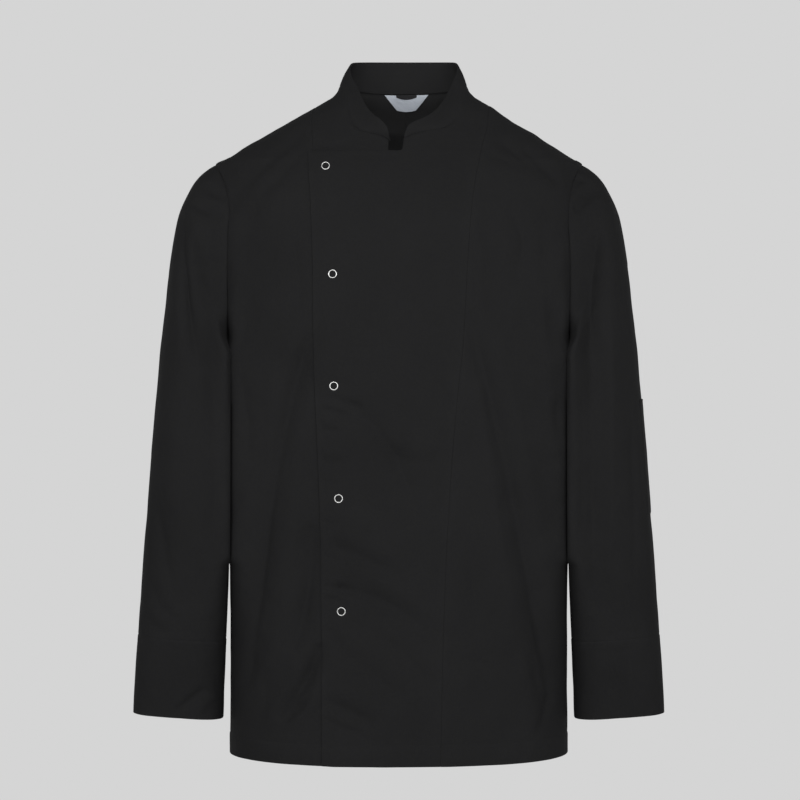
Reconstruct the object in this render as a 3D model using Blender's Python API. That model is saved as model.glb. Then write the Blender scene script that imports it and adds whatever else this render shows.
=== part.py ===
"""Chef jacket: double-breasted, with a stand collar and long cuffed sleeves, in black twill.

The jacket keeps the hollow shape that it has when worn. Its panels are thin walls cut from
three surfaces, each worked out from a short table of sections: the body, a stack of level
ovals; a sleeve, a row of ovals that fan out from the armhole; and the collar, a band ruled
between the neck seam and its free edge. Soft folds dent these surfaces before they get their
thickness.

Axes: +X is the wearer's left, -Y the front and +Z up. The origin is the middle of the neck,
level with the collar seam at the shoulders. Sizes are in millimetres, and MM turns them into
Blender's metres.
"""
import math

import bpy
import numpy as np

MM = 0.001

# ---- Driving sizes -------------------------------------------------------------------------
CLOTH = 1.5               # wall of a twill panel
CUFF_WALL = 2.2           # two layers of twill
COLLAR_WALL = 2.2
COLLAR_MITRE = 2.2        # its inner face starts this much higher, clear of the fronts
SEAM = 0.3                # clear gap where two pieces are sewn together
LAYER = 3.6               # outer face of the lower front to outer face of the upper front
HEM = -766.0              # height of the lower edge
UNDERARM = -305.0         # height of the lowest point of the armhole
CHEST = -165.0            # above this height the fronts curve in towards the neck
SHOULDER_TIP = -83.0      # height of the highest point of the armhole
NECK_BACK = 9.5           # height of the collar seam round the back of the neck
FRONT_TOP = -74.3         # height of the level top edge where the fronts cross
YOKE_LINE = -13.0         # height where the front seams meet the shoulder seams
NOTCH_LEFT = 3.6          # where the collar's two ends leave the crossing's top edge
NOTCH_RIGHT = -11.8

STUD_OUTER = 5.3          # radius of a press stud's open ring
STUD_BAND = 2.3           # width of the ring's metal
STUD_RISE = 1.3           # height of the ring above the cloth
STUD_POST = 4.5           # radius of the closed socket between the two fronts
STUD_PLAY = 0.5           # from the socket to the cloth on each side

POCKET_WALL = 1.2
POCKET_STATIONS = (9.25, 11.8)       # along the sleeve's table of sections
POCKET_TURNS = (144.0, 200.0)        # round the sleeve, in degrees from the underarm side

LABEL_TOP = 8.0           # height of the neck label's upper edge
LABEL_DROP = 16.4         # its height
LABEL_MIDDLE = 9.2        # across, measured from the middle of the jacket
LABEL_HALF_TOP = 27.0
LABEL_HALF_BOTTOM = 11.5
LABEL_WALL = 1.0
LABEL_GAP = 0.9           # from the back's inner face, clear of its flat facets
LOOP_HALF = 13.5          # half the length of the hanging loop
LOOP_SAG = 2.4
LOOP_WIDTH = 2.4

ROWS_LOWER = 11           # rows of faces from the hem to the underarm
ROWS_CHEST = 4            # from the underarm to the chest
ROWS_TOP = 5              # from the chest to the level edge of the crossing
ROWS_NECK = 8             # from there to the shoulder
ROWS_UPPER = ROWS_CHEST + ROWS_TOP + ROWS_NECK
BACK_COLUMNS = 10         # columns from the centre back seam to the side
SHOULDER_COLUMNS = 8      # columns from the front seam to the armhole
SLEEVE_SIDES = 2 * ROWS_UPPER        # the sleeve's corners meet the armhole's
FOLD_STEPS = 9


def table(columns, rows):
    """A short table whose columns are read by name."""
    kinds = [(name, "U12" if isinstance(rows[0][i], str) else float)
             for i, name in enumerate(columns)]
    return np.array(rows, dtype=kinds)


# Level sections of the body. `squareness` is the exponent of the oval: 2 is an ellipse.
BODY = table(
    ("height", "half_width", "front", "back", "squareness", "shift"),
    [
        (-766.0, 196.6, 119.0, 122.0, 2.60, 0.0),
        (-700.0, 196.1, 118.0, 120.0, 2.70, 0.0),
        (-620.0, 195.6, 117.0, 117.0, 3.00, 0.0),
        (-500.0, 195.4, 117.5, 113.0, 3.80, 0.0),
        (-400.0, 195.7, 119.5, 112.0, 4.40, 0.0),
        (-330.0, 196.8, 122.0, 114.0, 4.30, 0.0),
        (-290.0, 199.4, 122.5, 116.0, 3.80, 0.0),
        (-250.0, 205.0, 121.5, 118.0, 3.20, 0.0),
        (-190.0, 212.0, 117.0, 117.5, 2.70, 0.0),
        (-130.0, 216.5, 105.0, 112.0, 2.34, 0.0),
        (-100.0, 217.5, 95.5, 106.5, 2.12, 0.0),
        (-83.0, 215.0, 88.5, 103.0, 1.98, 0.1),
        (-69.5, 190.2, 82.0, 98.5, 2.02, 0.6),
        (-51.0, 162.6, 72.0, 92.0, 2.10, 1.9),
        (-39.0, 142.4, 64.5, 87.0, 2.12, 2.7),
        (-25.0, 119.0, 57.5, 81.0, 2.10, 3.9),
        (-11.0, 95.2, 50.0, 74.0, 2.10, 5.0),
        (-4.0, 83.6, 45.5, 69.5, 2.10, 5.3),
        (3.0, 77.2, 41.5, 65.0, 2.10, 5.4),
        (9.5, 74.6, 39.0, 62.0, 2.10, 5.4),
        (16.0, 71.4, 37.0, 59.0, 2.10, 5.4),
    ],
)

# Sections of the left sleeve from the armhole to the wrist. Each is an oval whose inner and
# outer ends are seen from the front; `middle` is where its centre lies from front to back. The
# half against the body is squarer than the outer half, and it leans: each millimetre forwards
# brings it `lean` millimetres in over the body's rounded side.
SLEEVE = table(
    ("inner_x", "inner_z", "outer_x", "outer_z", "middle", "half_depth",
     "outer_squareness", "inner_squareness", "lean"),
    [
        (198.4, -305.0, 215.0, -83.0, 5.0, 70.0, 2.20, 3.00, 0.00),
        (198.9, -305.6, 224.5, -88.6, 4.0, 72.0, 2.20, 3.00, 0.00),
        (199.2, -306.5, 237.9, -101.8, 2.5, 75.0, 2.20, 3.10, 0.00),
        (199.4, -308.5, 249.1, -120.5, 0.0, 77.5, 2.22, 3.20, 0.02),
        (199.5, -311.5, 257.8, -145.0, -3.0, 79.5, 2.24, 3.30, 0.04),
        (199.5, -315.5, 262.7, -174.0, -7.0, 80.5, 2.26, 3.60, 0.06),
        (199.5, -321.0, 267.2, -212.0, -11.0, 81.5, 2.30, 4.00, 0.08),
        (199.4, -329.0, 271.2, -258.0, -16.0, 81.0, 2.34, 4.50, 0.10),
        (199.1, -343.0, 275.4, -303.0, -20.0, 80.0, 2.38, 4.80, 0.11),
        (198.7, -368.0, 278.9, -345.0, -23.0, 78.5, 2.40, 5.00, 0.12),
        (198.1, -404.0, 283.0, -392.0, -25.0, 75.5, 2.40, 5.00, 0.12),
        (197.6, -455.0, 287.3, -446.0, -26.0, 70.5, 2.40, 5.00, 0.12),
        (197.4, -505.0, 291.3, -497.5, -26.0, 65.0, 2.40, 4.60, 0.11),
        (197.7, -545.0, 294.3, -538.5, -26.0, 60.5, 2.42, 4.00, 0.09),
        (199.7, -590.0, 297.6, -583.5, -25.5, 54.5, 2.45, 3.40, 0.06),
        (202.1, -634.0, 300.9, -627.0, -25.0, 49.0, 2.50, 3.00, 0.03),
        (203.6, -671.0, 303.4, -664.0, -24.5, 44.0, 2.55, 2.80, 0.00),
        (204.8, -701.0, 305.5, -694.0, -24.0, 39.5, 2.60, 2.70, 0.00),
        (205.5, -725.5, 306.7, -718.5, -24.0, 36.0, 2.60, 2.70, 0.00),
    ],
)
CUFF_SEAM = 15            # station of the seam between sleeve and cuff
WRIST = 18                # station of the cuff's end

# Across the front: the seam of the upper front, its free edge, and the seam of the lower
# front, which shows above the crossing and runs down hidden between the free edge and the
# studs.
FRONT = table(
    ("height", "seam", "edge", "lower_seam"),
    [
        (-766.0, 46.8, -86.0, -75.0),
        (-640.0, 49.5, -86.0, -76.0),
        (-540.0, 53.0, -87.0, -77.5),
        (-435.0, 59.0, -90.0, -80.5),
        (-362.0, 65.0, -93.0, -83.5),
        (-290.0, 72.5, -95.5, -86.0),
        (-217.0, 76.5, -96.0, -87.5),
        (-137.0, 82.5, -99.0, -92.0),
        (-72.5, 94.0, -103.0, -98.0),
        (-34.0, 103.0, -103.0, -100.0),
        (-13.0, 104.4, -103.0, -97.0),
    ],
)

# The centre back seam wanders a little to the left at the neck.
BACK_SEAM = table(("height", "across"), [(-766.0, 0.0), (-300.0, 2.0), (9.5, 9.0)])

# The collar, from each front end round to the side of the neck: the seam as seen from the
# front, and the free edge in space.
COLLAR_COLUMNS = ("seam_x", "seam_z", "edge_x", "edge_y", "edge_z")
COLLAR_LEFT = table(
    COLLAR_COLUMNS,
    [
        (6.0, -60.5, 6.4, -74.5, -54.0),
        (10.0, -57.5, 9.0, -73.5, -47.5),
        (17.0, -54.5, 13.5, -72.0, -42.5),
        (27.0, -52.2, 21.0, -69.0, -38.5),
        (38.0, -51.0, 29.0, -64.0, -35.0),
        (50.0, -48.8, 37.0, -58.0, -29.5),
        (60.0, -42.5, 43.5, -51.0, -23.5),
        (66.0, -33.0, 48.5, -43.0, -16.5),
        (68.3, -20.0, 53.0, -34.0, -8.5),
        (69.3, -8.0, 57.5, -25.0, 0.5),
        (71.0, 1.0, 61.0, -17.0, 9.0),
        (75.0, 7.0, 66.0, -8.0, 20.0),
    ],
)
COLLAR_RIGHT = table(
    COLLAR_COLUMNS,
    [
        (-11.6, -60.5, -11.6, -74.5, -54.0),
        (-15.0, -57.5, -12.8, -73.5, -48.0),
        (-21.5, -54.2, -15.5, -72.0, -43.5),
        (-29.0, -52.2, -20.5, -69.0, -38.0),
        (-38.0, -51.2, -26.5, -63.0, -32.8),
        (-46.5, -48.5, -31.0, -57.0, -28.5),
        (-53.5, -42.0, -35.5, -50.0, -22.5),
        (-57.5, -32.0, -39.0, -42.5, -16.0),
        (-58.8, -19.5, -42.3, -34.0, -8.5),
        (-58.8, -8.0, -45.8, -25.5, 0.5),
        (-60.0, 1.0, -49.5, -17.5, 9.0),
        (-64.0, 7.0, -55.0, -8.0, 20.0),
    ],
)
# Round the back, `turn` is the angle from the left side of the neck, in degrees.
COLLAR_BACK = table(
    ("turn", "edge_x", "edge_y", "edge_z"),
    [
        (0.0, 69.3, 6.0, 33.5),
        (22.0, 64.5, 26.0, 40.5),
        (50.0, 46.0, 48.0, 44.5),
        (88.0, 8.0, 57.0, 46.2),
        (130.0, -32.0, 48.0, 44.5),
        (158.0, -53.0, 26.0, 40.5),
        (180.0, -58.3, 6.0, 33.5),
    ],
)

STUDS = table(
    ("across", "height"),
    [(-82.9, -93.6), (-74.6, -217.2), (-72.4, -341.8), (-67.4, -467.6), (-64.6, -593.9)],
)

# Soft folds, drawn on the face of the cloth that they dent: `front` and `back` folds run over
# (x, z) and `outer` ones, on a sleeve, over (y, z), through three points from the top down.
FOLDS = table(
    ("cloth", "face", "top_a", "top_z", "mid_a", "mid_z", "low_a", "low_z", "width", "depth"),
    [
        ("body", "front", -98.0, -283.0, -136.0, -440.0, -170.0, -690.0, 15.0, 4.5),
        ("body", "front", -97.0, -497.0, -103.0, -580.0, -120.0, -640.0, 11.0, 3.5),
        ("body", "front", -88.0, -630.0, -104.0, -672.0, -132.0, -716.0, 10.0, 5.0),
        ("body", "front", 76.0, -258.0, 122.0, -440.0, 180.0, -728.0, 15.0, 4.5),
        ("body", "front", -64.0, -364.0, -14.0, -404.0, 20.0, -484.0, 13.0, 2.5),
        ("body", "front", -72.0, -566.0, -20.0, -582.0, 28.0, -612.0, 12.0, 2.5),
        ("body", "front", -170.0, -150.0, -175.0, -260.0, -168.0, -370.0, 13.0, 2.0),
        ("body", "back", -120.0, -300.0, -146.0, -480.0, -158.0, -700.0, 16.0, 4.5),
        ("body", "back", 118.0, -330.0, 140.0, -500.0, 164.0, -720.0, 16.0, 4.5),
        ("body", "back", -30.0, -420.0, -46.0, -560.0, -52.0, -740.0, 17.0, 4.0),
        ("body", "back", 52.0, -470.0, 62.0, -600.0, 84.0, -745.0, 15.0, 4.0),
        ("body", "back", -170.0, -150.0, -178.0, -230.0, -150.0, -330.0, 13.0, 3.5),
        ("body", "back", 172.0, -160.0, 176.0, -250.0, 146.0, -345.0, 13.0, 3.5),
        ("right", "front", 249.0, -140.0, 243.0, -250.0, 214.0, -400.0, 10.0, 4.0),
        ("right", "front", 283.0, -405.0, 272.0, -500.0, 250.0, -595.0, 14.0, 3.5),
        ("right", "back", 262.0, -200.0, 236.0, -330.0, 220.0, -430.0, 12.0, 4.0),
        ("right", "back", 240.0, -440.0, 268.0, -500.0, 280.0, -590.0, 12.0, 3.5),
        ("right", "outer", 37.0, -150.0, 13.0, -300.0, -13.0, -470.0, 12.0, 3.5),
        ("left", "front", 224.0, -230.0, 222.0, -400.0, 224.0, -600.0, 10.0, 3.0),
        ("left", "front", 262.0, -240.0, 266.0, -420.0, 268.0, -610.0, 10.0, 3.0),
        ("left", "back", 258.0, -190.0, 240.0, -340.0, 226.0, -450.0, 12.0, 4.0),
        ("left", "back", 246.0, -450.0, 264.0, -520.0, 284.0, -600.0, 12.0, 3.5),
    ],
)


# ---- Surfaces ------------------------------------------------------------------------------
def smooth(at, stations, values):
    """A smooth curve through (stations, values) that never overshoots between two of them."""
    steps = np.diff(stations)
    slopes = np.diff(values) / steps
    before, after = slopes[:-1], slopes[1:]
    same_way = before * after > 0
    mean = 2.0 * before * after / np.where(same_way, before + after, 1.0)
    tangents = np.concatenate([slopes[:1], np.where(same_way, mean, 0.0), slopes[-1:]])
    at = np.clip(np.asarray(at, float), stations[0], stations[-1])
    left = np.clip(np.searchsorted(stations, at, side="right") - 1, 0, len(steps) - 1)
    step = steps[left]
    t = (at - stations[left]) / step
    start = (1 + 2 * t) * (1 - t) ** 2 * values[left] + t * (1 - t) ** 2 * step * tangents[left]
    end = t**2 * (3 - 2 * t) * values[left + 1] - t**2 * (1 - t) * step * tangents[left + 1]
    return start + end


def body_size(name, height):
    return smooth(height, BODY["height"], BODY[name])


def oval(turn, squareness):
    """Cosine and sine of a direction, stretched to reach the oval of that squareness."""
    across, along = np.cos(turn), np.sin(turn)
    reach = (np.abs(across) ** squareness + np.abs(along) ** squareness) ** (-1 / squareness)
    return across * reach, along * reach


def body_point(turn, height):
    """Point of the body's face: `turn` goes from the left side (0) by the back (pi / 2)."""
    across, along = oval(turn, body_size("squareness", height))
    depth = np.where(along < 0, body_size("front", height), body_size("back", height))
    x = body_size("shift", height) + body_size("half_width", height) * across
    return np.stack([x, depth * along, height + 0 * x], axis=-1)


def turn_at_x(x, height, face):
    """The turn of the body's point at `x`, on the front (-1) or the back (+1)."""
    squareness = body_size("squareness", height)
    across = (x - body_size("shift", height)) / body_size("half_width", height)
    across = np.clip(across, -1.0, 1.0)
    along = (1 - np.abs(across) ** squareness) ** (1 / squareness)
    return face * np.arctan2(along, across)


def turn_at_y(y, height):
    """The turn of the body's point at `y`, on the left side."""
    squareness = body_size("squareness", height)
    depth = np.where(y < 0, body_size("front", height), body_size("back", height))
    across = (1 - np.abs(y / depth) ** squareness) ** (1 / squareness)
    return np.arctan2(y / depth, across)


def sleeve_size(name, station):
    return smooth(station, np.arange(len(SLEEVE), dtype=float), SLEEVE[name])


def sleeve_oval(station, turn):
    """Point of the left sleeve's oval: `turn` goes from the underarm by the front."""
    half = np.where(np.cos(turn) > 0, sleeve_size("inner_squareness", station),
                    sleeve_size("outer_squareness", station))
    away, ahead = oval(turn, half)
    share = (1 - away) / 2
    inner_x, outer_x = sleeve_size("inner_x", station), sleeve_size("outer_x", station)
    inner_z, outer_z = sleeve_size("inner_z", station), sleeve_size("outer_z", station)
    y = sleeve_size("middle", station) - sleeve_size("half_depth", station) * ahead
    lean = sleeve_size("lean", station) * (y - sleeve_size("middle", station))
    x = inner_x + (outer_x - inner_x) * share + lean * (1 - share)
    z = inner_z + (outer_z - inner_z) * share
    return np.stack([x, y, z], axis=-1)


def armhole_point(turn):
    """Point of the left armhole: the sleeve's first oval, pushed across on to the body."""
    flat = sleeve_oval(np.zeros_like(turn), turn)
    y, height = flat[..., 1], flat[..., 2]
    return body_point(turn_at_y(y, height), height)


ARMHOLE_REACH = 3.0       # stations over which the sleeve leaves the body's surface


def sleeve_point(station, turn):
    flat = sleeve_oval(station, turn)
    near = np.clip(1 - station / ARMHOLE_REACH, 0, 1) ** 2
    shift = armhole_point(turn) - sleeve_oval(np.zeros_like(turn), turn)
    return flat + near[..., None] * shift


def unit(vectors):
    return vectors / np.linalg.norm(vectors, axis=-1, keepdims=True)


def facing(surface, first, second, first_step, second_step):
    """Outward direction of a surface, from small steps along its two parameters."""
    along_first = surface(first + first_step, second) - surface(first - first_step, second)
    along_second = surface(first, second + second_step) - surface(first, second - second_step)
    return unit(np.cross(along_first, along_second))


def fold_path(fold):
    """Points down the middle of a fold: a parabola through its three points."""
    t = np.linspace(0, 1, FOLD_STEPS)[:, None]
    top = np.array([fold["top_a"], fold["top_z"]])
    low = np.array([fold["low_a"], fold["low_z"]])
    bend = 2 * np.array([fold["mid_a"], fold["mid_z"]]) - (top + low) / 2
    return top * (1 - t) ** 2 + 2 * bend * t * (1 - t) + low * t**2


def fold_dent(points, outward, cloth):
    """How far the folds of one piece of cloth push its face in at these points."""
    dent = np.zeros(points.shape[:-1])
    for fold in FOLDS[FOLDS["cloth"] == cloth]:
        across = points[..., 1] if fold["face"] == "outer" else points[..., 0]
        lean = {"front": -outward[..., 1], "back": outward[..., 1], "outer": outward[..., 0]}
        shown = np.clip(1.6 * lean[str(fold["face"])], 0, 1)
        flat = np.stack([across, points[..., 2]], axis=-1)
        path = fold_path(fold)
        nearest = np.full(dent.shape, np.inf)
        place = np.zeros(dent.shape)
        for i, (start, end) in enumerate(zip(path[:-1], path[1:])):
            run = end - start
            t = np.clip(((flat - start) @ run) / (run @ run), 0, 1)
            gap = np.linalg.norm(flat - start - t[..., None] * run, axis=-1)
            closer = gap < nearest
            place = np.where(closer, (i + t) / (FOLD_STEPS - 1), place)
            nearest = np.minimum(gap, nearest)
        taper = np.sqrt(np.clip(4 * place * (1 - place), 0, 1))
        dent += fold["depth"] * shown * taper * np.exp(-((nearest / fold["width"]) ** 2))
    return dent


def body_face(turn, height, out=0.0):
    """Point of the folded body cloth, moved `out` along its outward direction."""
    points = body_point(turn, height)
    outward = facing(body_point, turn, height, 0.002, 0.5)
    dent = fold_dent(points, outward, "body")
    return points + (np.asarray(out) - dent)[..., None] * outward


def sleeve_face(station, turn, side, out=0.0):
    """Point of a folded sleeve, on the left (side 1) or the right (side -1)."""
    points = sleeve_point(station, turn)
    outward = facing(sleeve_point, station, turn, 0.02, 0.004)
    dent = fold_dent(points, outward, "left" if side > 0 else "right")
    points = points + (np.asarray(out) - dent)[..., None] * outward
    return points * (side, 1, 1)


# ---- Meshes --------------------------------------------------------------------------------
def material(name, colour, roughness, metallic=0.0):
    made = bpy.data.materials.new(name)
    made.use_nodes = True
    shader = made.node_tree.nodes["Principled BSDF"]
    shader.inputs["Base Color"].default_value = (*colour, 1.0)
    shader.inputs["Roughness"].default_value = roughness
    shader.inputs["Metallic"].default_value = metallic
    return made


def add_mesh(name, points, faces, finish):
    """A named object from points in millimetres, without the points that no face uses."""
    used = sorted({index for face in faces for index in face})
    renumber = {old: new for new, old in enumerate(used)}
    faces = [[renumber[index] for index in face] for face in faces]
    mesh = bpy.data.meshes.new(name)
    mesh.from_pydata((points[used] * MM).tolist(), [], faces)
    mesh.materials.append(finish)
    mesh.shade_smooth()
    mesh.set_sharp_from_angle(angle=math.radians(50))
    made = bpy.data.objects.new(name, mesh)
    parts.objects.link(made)
    return made


def wall(name, outer, inner, finish, closed=False, keep=None):
    """A closed wall between two grids of points, with a rim round its open edges.

    `closed` joins the last column to the first; `keep` marks the cells that have cloth.
    """
    rows, columns = outer.shape[:2]
    count = rows * columns
    number = np.arange(count).reshape(rows, columns)
    across = columns if closed else columns - 1
    cells = [
        (number[i, j], number[i, (j + 1) % columns],
         number[i + 1, (j + 1) % columns], number[i + 1, j])
        for i in range(rows - 1)
        for j in range(across)
        if keep is None or keep[i, j]
    ]
    points = np.concatenate([outer.reshape(-1, 3), inner.reshape(-1, 3)])
    sides = {(cell[k], cell[(k + 1) % 4]) for cell in cells for k in range(4)}
    rim = [(b, a, a + count, b + count) for a, b in sorted(sides) if (b, a) not in sides]
    lining = [tuple(index + count for index in reversed(cell)) for cell in cells]
    faces = cells + lining + rim
    if volume(points, faces) < 0:
        faces = [tuple(reversed(face)) for face in faces]
    return add_mesh(name, points, faces, finish)


def volume(points, faces):
    """Six times the signed volume inside the faces."""
    corners = points[np.array([[f[0], f[k], f[k + 1]] for f in faces for k in (1, 2)])]
    return np.einsum("ij,ij->", corners[:, 0], np.cross(corners[:, 1], corners[:, 2]))


def draw_in(grid, edge, inside, by=SEAM / 2):
    """Pull an edge of the grid towards the points inside it, to open a seam's gap."""
    grid[edge] += by * unit(grid[inside] - grid[edge])


# ---- Body panels ---------------------------------------------------------------------------
def front_line(name, height):
    return smooth(height, FRONT["height"], FRONT[name])


def share_rows(count, power=1.0):
    return np.linspace(0, 1, count + 1) ** power


def heights_between(stops, rows):
    """Heights up a seam: even rows between one stop and the next."""
    spans = zip(stops[:-1], stops[1:], rows)
    return np.append(np.concatenate([np.linspace(low, high, count, endpoint=False)
                                     for low, high, count in spans]), stops[-1])


FRONT_HEIGHTS = heights_between((HEM, UNDERARM, CHEST, FRONT_TOP, YOKE_LINE),
                                (ROWS_LOWER, ROWS_CHEST, ROWS_TOP, ROWS_NECK))
SHOULDER_HEIGHTS = heights_between((SHOULDER_TIP, YOKE_LINE, NECK_BACK),
                                   (SHOULDER_COLUMNS, 3))


def side_boundary(face, side):
    """Turn and height up the side seam, then round one half of the armhole."""
    height = HEM + (UNDERARM - HEM) * share_rows(ROWS_LOWER)
    seam = np.stack([np.zeros_like(height), height], axis=-1)
    loop = armhole_point(math.pi * share_rows(ROWS_UPPER)[1:])
    if face > 0:
        loop = armhole_point(-math.pi * share_rows(ROWS_UPPER)[1:])
    turn = turn_at_y(loop[:, 1], loop[:, 2])
    turn[-1] = 0.0
    half = np.stack([turn, loop[:, 2]], axis=-1)
    boundary = np.concatenate([seam, half])
    if side < 0:
        boundary[:, 0] = face * math.pi - boundary[:, 0]
    return boundary


def ruled(first, second, columns):
    """A grid of (turn, height) whose rows run straight from one boundary to the other."""
    t = share_rows(columns)[None, :, None]
    return first[:, None] * (1 - t) + second[:, None] * t


def side_front(name, side):
    """From the front seam to the side seam, the armhole and the shoulder seam."""
    height = FRONT_HEIGHTS
    line = front_line("seam" if side > 0 else "lower_seam", height)
    turn = turn_at_x(line, height, -1)
    edge = 0.0 if side > 0 else -math.pi
    turn[-1] = edge
    grid = ruled(np.stack([turn, height], axis=-1), side_boundary(-1, side),
                 SHOULDER_COLUMNS)
    outer = body_face(grid[..., 0], grid[..., 1])
    inner = body_face(grid[..., 0], grid[..., 1], -CLOTH)
    for layer in (outer, inner):
        draw_in(layer, np.s_[:, 0], np.s_[:, 1])
        draw_in(layer, np.s_[:, -1], np.s_[:, -2])
        draw_in(layer, np.s_[-1, :], np.s_[-2, :])
    return wall(name, outer, inner, twill)


def back_seam(height):
    return smooth(height, BACK_SEAM["height"], BACK_SEAM["across"])


def back_panel(name, side):
    """Level rows from the centre back seam to the side seam, the armhole and the shoulder."""
    armhole = side_boundary(1, side)
    shoulder = SHOULDER_HEIGHTS[1:]
    shoulder = np.stack([np.full_like(shoulder, armhole[-1, 0]), shoulder], axis=-1)
    boundary = np.concatenate([armhole, shoulder])
    height = boundary[:, 1]
    turn = turn_at_x(back_seam(height), height, 1)
    grid = ruled(np.stack([turn, height], axis=-1), boundary, BACK_COLUMNS)
    outer = body_face(grid[..., 0], grid[..., 1])
    inner = body_face(grid[..., 0], grid[..., 1], -CLOTH)
    for layer in (outer, inner):
        draw_in(layer, np.s_[:, 0], np.s_[:, 1])
        draw_in(layer, np.s_[:, -1], np.s_[:, -2])
        draw_in(layer, np.s_[-1, :], np.s_[-2, :])
    return wall(name, outer, inner, twill)


def crossing(x, height):
    """0 at the lower front's seam to 1 at the upper front's seam, with a soft start and end."""
    first, last = front_line("lower_seam", height), front_line("seam", height)
    t = np.clip((x - first) / (last - first), 0, 1)
    return t * t * (3 - 2 * t)


def front_lift(x, height, side):
    """The upper front lies over the lower one by LAYER; each is flush at its own seam."""
    share = crossing(x, height)
    return LAYER * (1 - share) if side > 0 else -LAYER * share


def neck_seam(collar, side):
    """The collar seam's x and z from a front end to the side of the neck."""
    rows = np.arange(len(collar) + 1, dtype=float)
    at = np.linspace(0, rows[-1], ROWS_NECK)
    side_x = body_point(0 if side > 0 else math.pi, NECK_BACK)[0]
    x = smooth(at, rows, np.append(collar["seam_x"], side_x))
    z = smooth(at, rows, np.append(collar["seam_z"], NECK_BACK))
    return x, z


def centre_front(name, side):
    """A centre front: a wide lower part, and a narrower one beside the neck above it.

    Side 1 is the upper front, sewn to the left side front; side -1 is the lower front.
    """
    wide_columns = 9
    neck_columns = 8
    rows_low = ROWS_LOWER + ROWS_CHEST + ROWS_TOP
    seam_name = "seam" if side > 0 else "lower_seam"
    notch_x = NOTCH_LEFT if side > 0 else NOTCH_RIGHT
    heights = FRONT_HEIGHTS[:rows_low + 1]
    edge = front_line("edge", heights) * side
    notch = notch_x * share_rows(rows_low, 0.5) + 0 * heights
    seam = front_line(seam_name, heights)
    wide = edge[:, None] + (notch - edge)[:, None] * share_rows(wide_columns)[None]
    narrow = notch[:, None] + (seam - notch)[:, None] * share_rows(neck_columns)[None, 1:]
    low_x = np.concatenate([wide, narrow], axis=1)
    low_z = np.repeat(heights[:, None], low_x.shape[1], axis=1)
    neck_x, neck_z = neck_seam(COLLAR_LEFT if side > 0 else COLLAR_RIGHT, side)
    seam_z = FRONT_HEIGHTS[rows_low + 1:]
    seam_x = front_line(seam_name, seam_z)
    t = share_rows(neck_columns)[None]
    up_x = neck_x[:, None] * (1 - t) + seam_x[:, None] * t
    up_z = neck_z[:, None] * (1 - t) + seam_z[:, None] * t
    pad_x = np.repeat(up_x[:, :1], wide_columns, axis=1)
    pad_z = np.repeat(up_z[:, :1], wide_columns, axis=1)
    x = np.concatenate([low_x, np.concatenate([pad_x, up_x], axis=1)])
    z = np.concatenate([low_z, np.concatenate([pad_z, up_z], axis=1)])
    turn = turn_at_x(x, z, -1)
    lift = front_lift(x, z, side)
    outer = body_face(turn, z, lift)
    inner = body_face(turn, z, lift - CLOTH)
    keep = np.ones((x.shape[0] - 1, x.shape[1] - 1), bool)
    keep[rows_low:, :wide_columns] = False
    for layer in (outer, inner):
        draw_in(layer, np.s_[:, -1], np.s_[:, -2])
        draw_in(layer, np.s_[-1, wide_columns:], np.s_[-2, wide_columns:])
        draw_in(layer, np.s_[rows_low + 1:, wide_columns], np.s_[rows_low + 1:, wide_columns + 1])
    return wall(name, outer, inner, twill, keep=keep)


# ---- Collar --------------------------------------------------------------------------------
def collar_end(collar, side):
    """Seam and free edge of one end of the collar, from its front to the side of the neck."""
    x, z = neck_seam(collar, side)
    base = body_face(turn_at_x(x, z, -1), z, front_lift(x, z, side))
    rows = np.arange(len(collar) + 1, dtype=float)
    at = np.linspace(0, rows[-1], ROWS_NECK)
    last = COLLAR_BACK[0 if side > 0 else -1]
    edge = [smooth(at, rows, np.append(collar[name], last[name]))
            for name in ("edge_x", "edge_y", "edge_z")]
    return base, np.stack(edge, axis=-1)


def collar_round():
    """Seam and free edge of the collar round the back, from the left side to the right."""
    middle = turn_at_x(back_seam(NECK_BACK), NECK_BACK, 1)
    left = middle * share_rows(BACK_COLUMNS)
    right = middle + (math.pi - middle) * share_rows(BACK_COLUMNS)[1:]
    turn = np.concatenate([left, right])
    edge = [smooth(np.degrees(turn), COLLAR_BACK["turn"], COLLAR_BACK[name])
            for name in ("edge_x", "edge_y", "edge_z")]
    return body_face(turn, np.full_like(turn, NECK_BACK)), np.stack(edge, axis=-1)


def collar_stand():
    """A band from the right front end round the back of the neck to the left front end."""
    rise = 4
    stretches = zip(collar_end(COLLAR_RIGHT, -1), collar_round(), collar_end(COLLAR_LEFT, 1))
    base, edge = (np.concatenate([right[:-1], back[::-1], left[-2::-1]])
                  for right, back, left in stretches)
    start = base + unit(edge - base) * SEAM
    t = share_rows(rise)[:, None, None]
    outer = start * (1 - t) + edge * t
    outward = unit(np.cross(unit(edge - start), np.gradient(outer, axis=1)))
    inner = outer - outward * COLLAR_WALL
    draw_in(inner, np.s_[0], np.s_[1], COLLAR_MITRE)
    return wall("collar", outer, inner, twill)


# ---- Sleeves -------------------------------------------------------------------------------
def sleeve_tube(name, side, stations, thickness):
    """A stretch of the sleeve between its first and last station, as a tube of cloth."""
    turn = 2 * math.pi * np.arange(SLEEVE_SIDES) / SLEEVE_SIDES
    station, turn = np.meshgrid(stations, turn, indexing="ij")
    outer = sleeve_face(station, turn, side)
    inner = sleeve_face(station, turn, side, -thickness)
    for layer in (outer, inner):
        draw_in(layer, np.s_[0], np.s_[1], SEAM)
        draw_in(layer, np.s_[-1], np.s_[-2])
    return wall(name, outer, inner, twill, closed=True)


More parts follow.
